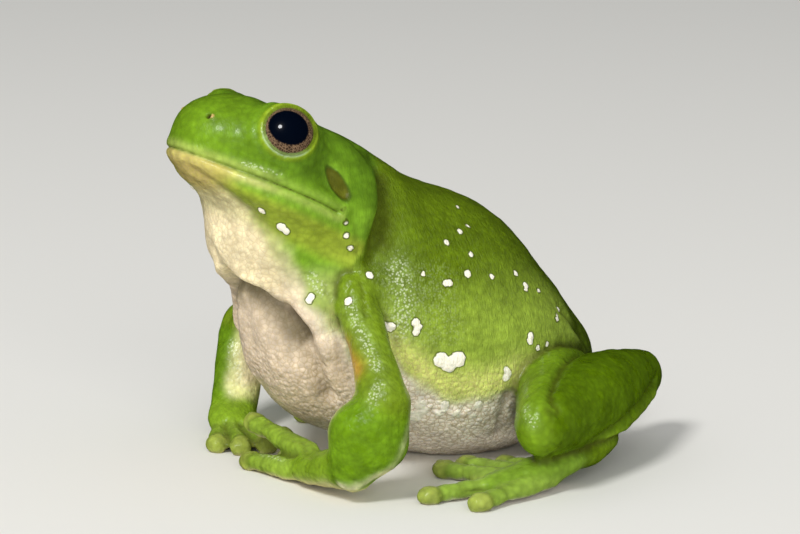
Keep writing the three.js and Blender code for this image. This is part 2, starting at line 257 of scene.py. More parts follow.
class Surface:
    """A triangle or quad mesh held as arrays in mm, with the work of smoothing and sculpting it."""

    def __init__(self, mesh: bpy.types.Mesh) -> None:
        """Reads the mesh, whose units are mm."""
        self.mesh = mesh
        self.read()

    def read(self) -> None:
        """Reads places, normals and edges from the mesh."""
        self.co = self._get(self.mesh.vertices, "co", 3)
        pairs = np.empty(len(self.mesh.edges) * 2, np.int32)
        self.mesh.edges.foreach_get("vertices", pairs)
        self.a, self.b = pairs.reshape(-1, 2).T
        self.valence = self._gather(np.ones(len(self.co)))
        self.measure()

    @staticmethod
    def _get(items: bpy.types.bpy_prop_collection, name: str, width: int) -> np.ndarray:
        """Reads one property of every item as rows of a width."""
        flat = np.empty(len(items) * width, np.float32)
        items.foreach_get(name, flat)
        return flat.reshape(-1, width).astype(float)

    def _gather(self, values: np.ndarray) -> np.ndarray:
        """Sum of each vertex's neighbours' values."""
        count = len(self.co)
        return np.bincount(self.a, values[self.b], count) + np.bincount(self.b, values[self.a], count)

    def measure(self) -> None:
        """Writes the places to the mesh and reads the normals back."""
        self.mesh.vertices.foreach_set("co", self.co.astype(np.float32).ravel())
        self.mesh.update()
        self.normal = self._get(self.mesh.vertices, "normal", 3)

    def away(self, place: np.ndarray) -> np.ndarray:
        """Distance of each vertex from a place in mm."""
        return np.linalg.norm(self.co - place, axis=1)

    def waves(self, per_mm: float, stretch: Point = (1.0, 1.0, 1.0)) -> np.ndarray:
        """Smooth noise at each vertex, between about -1 and 1, with so many waves to a mm."""
        return np.array([noise.noise(Vector(co) * per_mm) for co in self.co * stretch])

    def mean(self, values: np.ndarray) -> np.ndarray:
        """Mean of each vertex's neighbours, for one column or several."""
        if values.ndim == 1:
            return self._gather(values) / self.valence
        return np.stack([self._gather(column) / self.valence for column in values.T], axis=1)

    def spread(self, values: np.ndarray, rounds: int) -> np.ndarray:
        """Softens a mask over the surface by some rounds of averaging."""
        for _ in range(rounds):
            values = 0.5 * values + 0.5 * self.mean(values)
        return values

    def relax(self, weight: np.ndarray | float, rounds: int, keep: float = 0.53) -> None:
        """Smooths the places and undoes the shrinking.

        Args:
            weight: How much each vertex takes part, 0 to 1.
            rounds: Number of pairs of passes.
            keep: Strength of the pass that swells the surface back.
        """
        share = np.asarray(weight, float)
        share = share[:, None] if share.ndim else share
        for _ in range(rounds):
            self.co += 0.5 * share * (self.mean(self.co) - self.co)
            self.co -= keep * share * (self.mean(self.co) - self.co)
        self.measure()

    def reach(self, line: np.ndarray, limit: float) -> np.ndarray:
        """Distance of each vertex from a line of points.

        Args:
            line: The line's points in mm.
            limit: Distance past which a vertex isn't measured.

        Returns:
            Distances in mm, infinite past the limit.
        """
        found = np.full(len(self.co), np.inf)
        low, high = line.min(0) - limit, line.max(0) + limit
        near = np.flatnonzero(np.all((self.co > low) & (self.co < high), axis=1))
        points = self.co[near]
        best = np.full(len(near), np.inf)
        for start, end in zip(line[:-1], line[1:]):
            along = end - start
            share = np.clip((points - start) @ along / max(along @ along, 1e-9), 0.0, 1.0)
            best = np.minimum(best, np.linalg.norm(points - start - share[:, None] * along, axis=1))
        found[near] = best
        return found

    def push(self, amount: np.ndarray, rounds: int = 0) -> None:
        """Moves each vertex along its normal, evened out over some rounds, by an amount in mm."""
        way = self.spread(self.normal, rounds)
        self.co += way * (amount / np.linalg.norm(way, axis=1))[:, None]

    def refine(self, wanted: np.ndarray) -> None:
        """Splits the faces whose vertices are all wanted.

        Args:
            wanted: True for each vertex in the area to split.
        """
        bm = bmesh.new()
        bm.from_mesh(self.mesh)
        edges = [e for e in bm.edges if wanted[e.verts[0].index] and wanted[e.verts[1].index]]
        bmesh.ops.subdivide_edges(bm, edges=edges, cuts=1, use_grid_fill=True)
        bm.to_mesh(self.mesh)
        bm.free()
        self.read()


@dataclass(frozen=True)
class FrogSkin:
    """Skin of a live tree frog: moist, thin and finely granular, with pigment cells under a clear film.

    It gives a satin green with small wet glints, some of them painted as pale dots on the strongest granules,
    paler and cobbled below, with painted shade in its creases and between its cobbles. Sizes and depths are in
    mm.
    """

    name: str = "moist_frog_skin"
    granule: float = 0.8
    granule_depth: float = 0.16
    # Size and share of the painted glint dots
    painted_glint_size: float = 0.48
    painted_glint_share: float = 0.48
    cobble: float = 1.0
    cobble_depth: float = 0.26
    # Share of the painted shade in the gaps between the cobbles
    cobble_gap_shade_share: float = 0.65
    wrinkle: float = 0.8
    wrinkle_depth: float = 0.3
    wrinkle_run: Point = (1.0, 2.6, 0.55)
    pore: float = 1.28
    mottle: float = 5.5
    wart_white: str = "#f3eedb"
    wart_rim: str = "#4d5c12"
    speck: str = "#3a2f14"
    # Colour of the painted shade in the creases
    crease: str = "#3c3810"
    # Colour of the painted shade in the gaps between the cobbles
    cobble_gap_shade: str = "#b39c74"
    # Colour of the painted glint dots
    painted_glint: str = "#e9f0d2"
    dry: float = 0.42
    wet: float = 0.15

    def make(self) -> bpy.types.Material:
        """Builds the material.

        Returns:
            The skin's material, on Object coordinates and the skin's own attributes.
        """
        material, tree = blank_material(self.name)
        place = add(tree, "TexCoord").outputs["Object"]
        masks = {
            name: add(tree, "Attribute", attribute_name=name).outputs["Fac"]
            for name in (
                "cobbles", "wart_edge", "speck_edge", "crease_shade", "wetness", "wrinkling", "grain",
            )
        }
        rough = add(tree, "MapRange", {"Value": masks["wetness"], "To Min": self.dry, "To Max": self.wet})
        height = self._height(tree, place, masks)
        bump = add(tree, "Bump", {"Strength": 1.0, "Distance": MM, "Height": height})
        shader = add(tree, "BsdfPrincipled", {
            "Base Color": self._colour(tree, place, masks),
            "Roughness": rough.outputs[0],
            "IOR": 1.42,
            "Specular IOR Level": 0.25,
            "Subsurface Weight": 0.12,
            "Subsurface Radius": (1.0, 0.75, 0.35),
            "Subsurface Scale": 1.2 * MM,
            "Coat Weight": 0.15,
            "Coat Roughness": 0.12,
            "Coat IOR": 1.38,
            "Normal": bump.outputs["Normal"],
        })
        add(tree, "OutputMaterial", {"Surface": shader.outputs[0]})
        return material

    def _height(self, tree: bpy.types.NodeTree, place: Socket, masks: dict[str, Socket]) -> Socket:
        """Relief of granules, wrinkles and cobbles.

        Args:
            tree: The material's tree.
            place: Object coordinates.
            masks: The skin's attributes.

        Returns:
            The socket with the height in mm.
        """
        drawn = add(tree, "Mapping", {"Vector": place, "Scale": self.wrinkle_run}).outputs[0]
        wrinkles = add(tree, "TexNoise", {
            "Vector": drawn, "Scale": 1 / (self.wrinkle * MM), "Detail": 3.0, "Distortion": 0.8,
        }).outputs[0]
        granules = add(tree, "TexVoronoi", {
            "Vector": place, "Scale": 1 / (self.granule * MM), "Smoothness": 0.4,
        }, feature="SMOOTH_F1").outputs["Distance"]
        cobbles = add(tree, "TexVoronoi", {
            "Vector": place, "Scale": 1 / (self.cobble * MM), "Smoothness": 0.35, "Randomness": 0.85,
        }, feature="SMOOTH_F1").outputs["Distance"]
        height: Socket | float = 0.0
        for pattern, mask, depth in (
            (wrinkles, "wrinkling", self.wrinkle_depth),
            (granules, "grain", -self.granule_depth),
            (cobbles, "cobbles", -self.cobble_depth),
        ):
            share = add(tree, "Math", {0: pattern, 1: masks[mask]}, operation="MULTIPLY").outputs[0]
            height = add(tree, "Math", {0: share, 1: depth, 2: height}, operation="MULTIPLY_ADD").outputs[0]
        return height

    def _colour(self, tree: bpy.types.NodeTree, place: Socket, masks: dict[str, Socket]) -> Socket:
        """Colour: the body's tone, mottled, with cobbles, warts and specks, with painted shade in the creases
        and between the cobbles, and painted glint dots on the strongest granules.

        Args:
            tree: The material's tree.
            place: Object coordinates.
            masks: The skin's attributes.

        Returns:
            The socket with the colour.
        """
        tone = add(tree, "Attribute", attribute_name="skin_tone").outputs["Color"]
        mottle = add(tree, "TexNoise", {
            "Vector": place, "Scale": 1 / (self.mottle * MM), "Detail": 4.0, "Roughness": 0.6,
        }).outputs[0]
        pores = add(tree, "TexVoronoi", {"Vector": place, "Scale": 1 / (self.pore * MM)}).outputs["Distance"]
        shade: Socket | float = 1.0
        for pattern, low, high, least, most in (
            (mottle, 0.3, 0.7, 0.78, 1.2),
            (pores, 0.15, 0.75, 1.1, 0.84),
        ):
            ranged = add(tree, "MapRange", {
                "Value": pattern, "From Min": low, "From Max": high, "To Min": least, "To Max": most,
            }).outputs[0]
            shade = add(tree, "Math", {0: shade, 1: ranged}, operation="MULTIPLY").outputs[0]
        colour = add(tree, "VectorMath", {0: tone, "Scale": shade}, operation="SCALE").outputs[0]
        # Painted shade in the gaps between the cobbles
        gaps = add(tree, "TexVoronoi", {
            "Vector": place, "Scale": 1 / (self.cobble * MM), "Randomness": 0.85,
        }, feature="DISTANCE_TO_EDGE").outputs["Distance"]
        # Cells of the painted glint dots: pale dots on the strongest granules that stand for glints of the wet
        # film
        tips = add(tree, "TexVoronoi", {
            "Vector": place, "Scale": 1 / (self.painted_glint_size * MM), "Smoothness": 0.4,
        }, feature="SMOOTH_F1").outputs["Distance"]
        # Each share runs from 0 at the outer distance to its most at the inner one
        share = {
            name: add(tree, "MapRange", {
                "Value": edge, "From Min": outer, "From Max": inner, "To Min": 0.0, "To Max": most,
            }, interpolation_type=ease).outputs[0]
            for name, edge, outer, inner, most, ease in (
                ("tip", tips, 0.52, 0.25, 1.0, "SMOOTHSTEP"),
                ("raised", masks["grain"], 1.1, 2.2, self.painted_glint_share, "LINEAR"),
                ("gap", gaps, 0.13, 0.02, self.cobble_gap_shade_share, "LINEAR"),
                ("rim", masks["wart_edge"], 0.36, 0.1, 1.0, "SMOOTHSTEP"),
                ("green", masks["cobbles"], 1.0, 0.0, 1.0, "LINEAR"),
                ("wart", masks["wart_edge"], 0.12, -0.04, 1.0, "SMOOTHSTEP"),
                ("speck", masks["speck_edge"], 0.1, -0.1, 1.0, "SMOOTHSTEP"),
            )
        }
        for name, factor in (("tip", share["raised"]), ("gap", masks["cobbles"]), ("rim", share["green"])):
            share[name] = add(tree, "Math", {0: share[name], 1: factor}, operation="MULTIPLY").outputs[0]
        # Over the tone: painted glint dots, painted shade between the cobbles and in the creases, then the
        # warts' rims, the warts and the specks
        for each, paint in (
            (share["tip"], self.painted_glint),
            (share["gap"], self.cobble_gap_shade),
            (masks["crease_shade"], self.crease),
            (share["rim"], self.wart_rim),
            (share["wart"], self.wart_white),
            (share["speck"], self.speck),
        ):
            colour = add(tree, "Mix", {0: each, 6: colour, 7: linear(paint)}, data_type="RGBA").outputs[2]
        return colour


@dataclass(frozen=True)
class WetEye:
    """A frog's eye: blue-black pupil, copper iris with a net of fine lines, under a clear wet cornea.

    The cornea gives one sharp highlight on a deep, dark pupil. Sizes are in mm.
    """

    name: str = "wet_eye_cornea"
    pupil: str = "#020611"
    iris_dark: str = "#231811"
    iris: str = "#4c3a2c"
    iris_vein: str = "#9a7d60"
    rim: str = "#15120e"
    vein_gap: float = 0.42
    waver: float = 0.25

    def make(self) -> bpy.types.Material:
        """Builds the material.

        Returns:
            The eye's material, on the eyeball's own attributes in mm.
        """
        material, tree = blank_material(self.name)
        place = add(tree, "Attribute", attribute_name="gaze_place").outputs["Vector"]
        pupil = add(tree, "Attribute", attribute_name="pupil_edge").outputs["Fac"]
        limbus = add(tree, "Attribute", attribute_name="limbus_edge").outputs["Fac"]
        wobble = add(tree, "TexNoise", {"Vector": place, "Scale": 1.6, "Detail": 3.0}).outputs[0]
        bent = add(tree, "Math", {0: wobble, 1: 0.5}, operation="SUBTRACT").outputs[0]
        edge = add(tree, "Math", {0: bent, 1: self.waver, 2: pupil}, operation="MULTIPLY_ADD").outputs[0]
        cloud = add(tree, "TexNoise", {"Vector": place, "Scale": 0.9, "Detail": 5.0}).outputs[0]
        veins = add(tree, "TexVoronoi", {
            "Vector": place, "Scale": 1 / self.vein_gap,
        }, feature="DISTANCE_TO_EDGE").outputs["Distance"]
        vein, outline, inside = (
            add(tree, "MapRange", {
                "Value": value, "From Min": outer, "From Max": inner, "To Min": 0.0, "To Max": 1.0,
            }, interpolation_type=ease).outputs[0]
            for value, outer, inner, ease in (
                (veins, 0.2, 0.02, "LINEAR"),
                (limbus, 0.5, 0.0, "SMOOTHSTEP"),
                (edge, 0.12, -0.12, "SMOOTHSTEP"),
            )
        )
        veined = add(tree, "Math", {0: vein, 1: cloud}, operation="MULTIPLY").outputs[0]
        colour: Socket | Colour = linear(self.iris_dark)
        for share, paint in (
            (cloud, self.iris), (veined, self.iris_vein), (outline, self.rim), (inside, self.pupil),
        ):
            colour = add(tree, "Mix", {0: share, 6: colour, 7: linear(paint)}, data_type="RGBA").outputs[2]
        shader = add(tree, "BsdfPrincipled", {
            "Base Color": colour,
            "Roughness": 0.3,
            "IOR": 1.38,
            "Specular IOR Level": 0.05,
            "Coat Weight": 0.6,
            "Coat Roughness": 0.05,
            "Coat IOR": 1.376,
        })
        add(tree, "OutputMaterial", {"Surface": shader.outputs[0]})
        return material


@dataclass(frozen=True)
class StudioPaper:
    """Matt seamless paper, which gives an even, pale ground with a faint tooth."""

    name: str = "seamless_studio_paper"
    colour: str = "#e4e2dc"
    tooth: float = 0.6
    tooth_depth: float = 0.05

    def make(self) -> bpy.types.Material:
        """Builds the material.

        Returns:
            The paper's material.
        """
        material, tree = blank_material(self.name)
        place = add(tree, "TexCoord").outputs["Object"]
        fibres = add(tree, "TexNoise", {"Vector": place, "Scale": 1 / (self.tooth * MM), "Detail": 4.0})
        bump = add(tree, "Bump", {
            "Strength": 0.2, "Distance": self.tooth_depth * MM, "Height": fibres.outputs[0],
        })
        shader = add(tree, "BsdfPrincipled", {
            "Base Color": linear(self.colour), "Roughness": 0.85, "Normal": bump.outputs["Normal"],
        })
        add(tree, "OutputMaterial", {"Surface": shader.outputs[0]})
        return material


@dataclass
class Eye:
    """An eyeball with its pupil, set behind the lids, in mm; its back counts as far from the pupil."""

    socket: EyeSocket
    pupil_half_width: float = 3.5
    pupil_half_height: float = 3.05
    limbus: float = 4.75
    steps: int = 72
    far: float = 10.0

    def build(self, material: bpy.types.Material) -> bpy.types.Object:
        """Makes the eyeball in place.

        Args:
            material: The eye's material.

        Returns:
            The eyeball.
        """
        side = self.socket.side.name.lower()
        gaze = self.socket.gaze
        ahead = np.cross(HEAD.direct((0.0, 0.0, 1.0)), gaze)
        ahead /= np.linalg.norm(ahead)
        axes = np.stack([ahead, np.cross(gaze, ahead), gaze], axis=1)
        bm = bmesh.new()
        bmesh.ops.create_uvsphere(
            bm, u_segments=self.steps, v_segments=self.steps, radius=self.socket.radius,
            matrix=Matrix.Translation(self.socket.centre) @ Matrix(axes.tolist()).to_4x4(),
        )
        for each in bm.faces:
            each.smooth = True
        mesh = bpy.data.meshes.new("eyeball")
        bm.to_mesh(mesh)
        bm.free()
        local = (Surface(mesh).co - self.socket.centre) @ axes
        across, up, out = local.T
        pupil = np.hypot(across / self.pupil_half_width, up / self.pupil_half_height) - 1.0
        write(mesh, "gaze_place", local)
        write(mesh, "pupil_edge", pupil * self.pupil_half_height + np.where(out < 0.0, self.far, 0.0))
        write(mesh, "limbus_edge", self.limbus - np.hypot(across, up))
        return finish_piece(mesh, "eyeball_" + side, material, ["eye_" + side])


def write(mesh: bpy.types.Mesh, name: str, values: np.ndarray) -> None:
    """Writes a value for each vertex as an attribute of the mesh.

    Args:
        mesh: The mesh that gets it.
        name: The attribute's name, which the material reads.
        values: One number, three or four for each vertex.
    """
    kinds = {1: ("FLOAT", "value"), 3: ("FLOAT_VECTOR", "vector"), 4: ("FLOAT_COLOR", "color")}
    width = 1 if values.ndim == 1 else values.shape[1]
    kind, slot = kinds[width]
    attribute = mesh.attributes.new(name, kind, "POINT")
    attribute.data.foreach_set(slot, values.astype(np.float32).ravel())


def finish_piece(
    mesh: bpy.types.Mesh, name: str, material: bpy.types.Material, nodes: list[str]
) -> bpy.types.Object:
    """Args:
        mesh: The mesh in frame mm.
        name: The piece's name.
        material: Its material.
        nodes: The CAD nodes that it stands for.

    Returns:
        The piece, riding on the root body.
    """
    mesh.transform(Matrix.Scale(MM, 4))
    mesh.name = name
    mesh.materials.append(material)
    piece = bpy.data.objects.new(name, mesh)
    bpy.context.scene.collection.objects.link(piece)
    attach(piece, "root")
    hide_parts(*nodes)
    LOG.info("%s: %d vertices, for %d nodes", name, len(mesh.vertices), len(nodes))
    return piece


@dataclass(frozen=True)
class Palette:
    """The skin's large-scale colours: first one for each region, by its name, then those of markings and of
    painted shade and highlights.
    """

    head: str = "#577a14"
    lower_jaw: str = "#6f9620"
    trunk: str = "#5d7409"
    eye: str = "#93ab22"
    eardrum: str = "#6f9620"
    upper_arm: str = "#70891b"
    forearm: str = "#668a12"
    hand: str = "#7c9c22"
    thigh: str = "#6b8a16"
    shank: str = "#516c04"
    tarsus: str = "#5f780e"
    foot: str = "#75952a"
    finger: str = "#84a032"
    toe: str = "#84a03a"
    web: str = "#8c9a44"
    snout: str = "#678b14"
    cheek: str = "#6f9620"
    drumskin: str = "#585c12"
    flank: str = "#93ab3c"
    # Colour of the painted shade on the rear of the back
    rump_shade: str = "#4a5e08"
    heel: str = "#7c9a20"
    pad: str = "#a19f52"
    belly: str = "#fbf0df"
    chest: str = "#dac7ad"
    throat: str = "#ecdcb2"
    band: str = "#dde47c"
    collar: str = "#92a431"
    shoulder: str = "#abb862"
    chin: str = "#b3a154"
    lip: str = "#d2d67c"
    lid: str = "#93ab22"
    # Pale lower edge of the lids: partly the membrane's own colour, partly a painted wet highlight
    lid_edge_and_sheen: str = "#b9cfc0"
    # The near-black of painted shade in the nostrils' holes, in the lids' openings and round the eardrums'
    # rims
    nostril: str = "#1d1a0c"
    bead: str = "#c8ab66"
    orange: str = "#b58a35"
    ridge: str = "#e2dcb4"
    # Colour of the painted highlight along the wettest streaks
    painted_highlight: str = "#bccd94"


# Wettest streaks of the skin, where the granules shine and a painted highlight lies over them: points in mm
# and the half width of each
WET_HIGHLIGHT = (
    (((19.5, -22.1, 32.5), (22.3, -22.6, 29.6), (25.8, -22.9, 26.7), (29.5, -23.4, 23.4)), 1.5),
    (((31.9, -24.4, 21.1), (32.1, -26.2, 18.8)), 1.5),
    (((42.3, -1.3, 15.9), (43.8, -1.8, 14.6), (45.1, -1.9, 13.6)), 1.1),
    (((-27.7, -16.6, 16.9), (-25.8, -16.9, 13.5), (-24.3, -17.0, 10.0)), 1.4),
    (((12.9, -25.6, 36.6), (14.1, -24.3, 34.5)), 1.8),
    (((19.2, -11.9, 38.0), (20.7, -11.4, 32.3), (20.7, -12.5, 27.2)), 3.2),
    (((10.1, -37.3, 57.4), (12.5, -35.3, 56.5), (14.3, -32.9, 55.7)), 0.7),
    (((1.8, -29.0, 3.6), (9.1, -29.3, 4.2)), 0.8),
)

# Ridges and creases, for the left side where they are mirrored; dark is the share of painted shade along each
STROKES = (
    Stroke("gland_ridge", ((8.0, -12.0, 56.9), (11.0, -13.1, 55.8), (14.4, -14.2, 52.9), (16.9, -15.7, 49.8),
                           (17.2, -17.2, 46.2), (17.1, -18.4, 43.1)), 2.2, 0.5),
    Stroke("gland_shadow", ((12.0, -9.6, 53.0), (14.6, -10.6, 50.8), (16.6, -11.4, 47.0),
                            (17.8, -13.6, 42.4)), 3.6, -0.2, dark=0.5),
    Stroke("temple_fold", ((14.6, 7.2, 9.4), (15.0, 4.6, 9.2), (15.5, 1.6, 8.9), (16.3, -1.2, 6.2),
                           (16.9, -2.2, 3.0), (16.6, -2.2, -0.5)), 0.9, 0.4, in_head=True),
    Stroke("gland_crease", ((10.1, -10.2, 54.5), (12.3, -11.2, 53.4), (14.1, -12.0, 51.6),
                            (16.1, -12.6, 47.3), (17.3, -15.1, 42.8), (18.3, -16.6, 39.5)),
           1.5, -1.8, dark=0.6),
    Stroke("gland_hollow", ((13.8, -9.8, 51.5), (16.4, -10.4, 47.0), (17.8, -12.4, 42.4),
                            (19.0, -13.4, 38.8)), 2.8, -1.1),
    Stroke("neck_crease", ((17.2, -20.1, 47.7), (16.8, -19.0, 42.0), (17.6, -18.9, 38.0), (19.5, -19.5, 34.8),
                           (22.5, -20.9, 31.0)), 0.6, -0.45, dark=0.35),
    Stroke("jaw_roll", ((7.2, 20.0, -1.7), (11.2, 15.6, -2.2), (14.9, 11.1, -2.6), (16.8, 5.0, -2.5),
                        (16.8, -0.5, -2.2)), 1.3, 0.35, in_head=True),
    Stroke("jaw_crease", ((3.7, 22.1, -2.6), (7.4, 18.3, -3.8), (9.0, 12.5, -5.3), (11.5, 7.5, -6.6),
                          (13.2, 2.5, -7.4)), 1.2, -0.5, in_head=True, dark=0.12),
    Stroke("chest_fold", ((2.5, -34.4, 37.2), (4.6, -33.6, 35.9), (7.1, -32.1, 33.9), (9.3, -29.6, 31.2),
                          (11.8, -26.6, 28.4), (14.0, -23.2, 23.6)), 1.6, 1.0),
    Stroke("chest_hollow", ((0.0, -33.6, 35.0), (4.0, -32.4, 33.0), (8.0, -29.6, 29.6), (11.0, -26.4, 26.2)),
           2.0, -2.5, dark=0.4),
    Stroke("chest_shadow", ((0.0, -33.0, 33.6), (4.0, -31.8, 31.4), (7.2, -29.4, 28.6), (10.0, -26.6, 25.0)),
           4.0, -0.3, dark=0.75),
    Stroke("fold_front", ((-4.1, -35.6, 40.2), (-3.5, -35.3, 38.8), (-3.0, -35.0, 37.4), (-2.6, -34.6, 36.4)),
           1.9, -1.0, mirrored=False),
    Stroke("hollow_front", ((-1.8, -33.0, 34.7), (-1.8, -32.0, 33.1), (-3.2, -30.7, 31.4)), 1.5, 0.9,
           mirrored=False),
    Stroke("arm_front", ((-30.8, -15.4, 22.5), (-31.3, -15.8, 20.3), (-30.7, -16.8, 17.6)), 2.4, -1.0,
           mirrored=False),
    Stroke("chest_bulge", ((3.5, -30.5, 27.0), (5.5, -27.0, 17.0)), 2.5, 0.7),
    Stroke("chest_side", ((11.2, -27.3, 27.0), (13.3, -23.6, 20.0), (13.2, -21.2, 13.0)), 1.3, 0.5),
    Stroke("chest_valley", ((9.4, -29.2, 30.4), (10.5, -26.9, 27.0), (11.4, -24.9, 23.4), (11.6, -23.0, 19.0),
                            (11.2, -21.0, 15.0)), 1.4, -2.2, dark=0.5),
    Stroke("valley_shadow", ((9.6, -28.0, 28.0), (10.6, -25.6, 23.4), (10.8, -23.4, 19.0),
                             (10.4, -21.6, 15.0)), 3.0, -0.3, dark=0.42),
    Stroke("groin_crease", ((25.4, 7.0, 14.0), (24.4, 7.1, 12.0), (22.9, 7.7, 9.1), (19.6, 9.5, 5.1)),
           0.8, -0.9, dark=0.45),
    Stroke("arm_crease", ((14.8, -24.2, 35.2), (15.2, -23.2, 32.0), (15.3, -22.6, 27.5), (15.6, -21.4, 23.4),
                          (15.4, -19.5, 18.4)), 0.8, -0.6, mirrored=False, dark=0.35),
    Stroke("arm_hind_crease", ((19.8, -16.0, 32.2), (20.4, -13.8, 27.2), (20.6, -12.0, 23.0),
                               (20.7, -9.8, 18.8)), 0.9, -0.5, mirrored=False, dark=0.3),
    Stroke("armpit", ((20.6, -23.3, 25.4), (22.6, -24.0, 23.9), (25.8, -25.0, 22.6)), 1.9, -0.3,
           mirrored=False, paint="orange"),
    Stroke("rump_fold", ((20.0, 17.0, 29.5), (21.6, 20.5, 25.0), (19.6, 25.6, 21.0), (15.5, 31.0, 17.6)),
           1.6, 0.4),
    Stroke("rump_crease", ((19.6, 24.0, 26.6), (18.4, 26.8, 23.4), (16.6, 30.0, 20.8), (13.3, 33.6, 18.7)),
           1.1, -0.7, dark=0.35),
    Stroke("brow_bridge", ((3.0, 15.5, 11.9), (7.0, 16.2, 12.1), (9.5, 15.6, 12.7)), 2.4, 0.5, in_head=True),
    Stroke("ulnar_edge", ((32.9, -20.0, 18.9), (33.0, -19.9, 14.6), (34.2, -21.8, 10.7), (33.0, -23.1, 7.2),
                          (29.7, -28.2, 3.4), (28.0, -30.3, 3.4)), 0.75, 0.25, mirrored=False, paint="ridge"),
    Stroke("wrist_fold", ((20.9, -28.3, 7.7), (24.9, -30.6, 7.1), (28.3, -30.6, 6.1), (30.3, -28.7, 4.6)),
           0.6, -0.4, mirrored=False, dark=0.3),
    Stroke("palm_crease", ((9.5, -25.7, 6.8), (12.3, -26.6, 6.0), (18.8, -29.6, 6.4), (22.5, -30.8, 5.8)),
           0.6, -0.35, mirrored=False, dark=0.3),
    Stroke("heel_crease", ((28.6, 38.6, 12.7), (31.8, 34.6, 12.3), (35.7, 29.2, 11.4), (38.1, 25.4, 10.9),
                           (41.3, 18.6, 9.2), (42.6, 12.6, 7.9)), 0.9, -1.2, dark=0.5),
    Stroke("heel_side", ((28.6, 38.2, 10.4), (31.8, 33.6, 9.8), (36.6, 26.2, 8.8), (41.0, 17.2, 7.2)),
           1.2, 0.35, paint="heel"),
    Stroke("toe_cleft", ((38.2, -11.1, 1.7), (39.1, -8.0, 1.8), (42.0, -4.5, 3.2), (42.3, -1.5, 4.2)),
           0.5, -0.45, mirrored=False, dark=0.4),
)

# White warts of the left side, repeated a little off on the right
WARTS = (
    Wart((23.5, -4.0, 21.0), 1.25, 3, 0.0), Wart((21.5, -9.5, 27.5), 0.7, 3),
    Wart((20.2, -14.5, 28.0), 0.75, 2, 0.0),
    Wart((19.0, -22.0, 33.0), 0.65), Wart((13.0, -26.0, 33.0), 0.6, 2), Wart((18.0, -17.0, 37.0), 0.75),
    Wart((16.5, -20.1, 42.0), 0.55), Wart((16.9, -21.2, 44.3), 0.5), Wart((16.9, -21.5, 46.7), 0.55),
    Wart((17.2, -21.9, 48.9), 0.4), Wart((26.3, 6.5, 18.0), 0.6, 3), Wart((19.0, -7.0, 11.5), 1.2, 3),
    Wart((21.5, -3.5, 13.0), 0.75), Wart((20.5, -3.5, 11.5), 0.8, 2), Wart((21.5, -1.0, 11.0), 0.85),
    Wart((22.0, 2.0, 10.5), 0.7), Wart((24.0, 2.0, 12.5), 0.7), Wart((25.5, 12.0, 23.5), 0.65, 2),
    Wart((26.0, 13.5, 21.5), 0.55), Wart((25.0, 16.0, 21.0), 0.6, 2), Wart((20.0, 22.5, 26.5), 0.55),
    Wart((22.0, 20.5, 25.5), 0.5, 2), Wart((20.0, 12.5, 34.0), 0.55), Wart((21.0, 14.0, 31.5), 0.55, 2),
    Wart((20.5, 17.5, 30.5), 0.5), Wart((21.5, 6.5, 34.5), 0.5), Wart((21.0, 1.5, 35.5), 0.6),
    Wart((21.5, -3.0, 34.5), 0.55, 2, 30.0), Wart((19.5, 3.5, 38.5), 0.45), Wart((18.5, -1.0, 41.0), 0.5),
    Wart((15.5, 5.5, 42.5), 0.45), Wart((16.5, 3.0, 42.0), 0.5), Wart((11.5, 6.0, 45.0), 0.4),
    Wart((20.5, -7.5, 36.5), 0.35), Wart((11.0, -34.5, 49.0), 0.7), Wart((12.0, -30.5, 46.0), 0.8, 2, 0.0),
)

# Dark specks of the left side
SPECKS = (
    (22.5, -5.0, 17.5), (25.0, 1.0, 18.0), (22.0, 3.5, 9.0), (34.0, -26.5, 13.5), (34.5, -25.0, 17.5),
    (40.5, 21.5, 13.5), (36.5, 28.0, 13.5), (16.5, -21.5, 39.5), (16.0, -21.8, 38.0),
)

# Edges in mm: height of the pale flank's along y, half width of the pale throat's along z, and height of
# the mouth's line along the head
FLANK_LINE = ((-18, -10, -4, 2, 8, 15, 26), (25.0, 18.0, 13.6, 13.2, 14.6, 14.0, 9.0))
THROAT_LINE = (
    (12, 20, 25.3, 29, 31.6, 34.8, 41, 46.3, 51.5, 55.6),
    (16.5, 16.2, 15.6, 13.4, 11.8, 10.6, 10.6, 9.4, 7.2, 4.4),
)
MOUTH_LINE = ((-1.0, 3.0, 8.0, 16.0, 24.0), (0.3, 0.5, 0.45, 0.1, -0.45))


@dataclass(frozen=True)
class Areas:
    """Shares of 0 to 1 that each vertex has in the areas by which the skin is coloured and wetted."""

    head: np.ndarray
    trunk: np.ndarray
    arms: np.ndarray
    legs: np.ndarray
    pale: np.ndarray
    band: np.ndarray


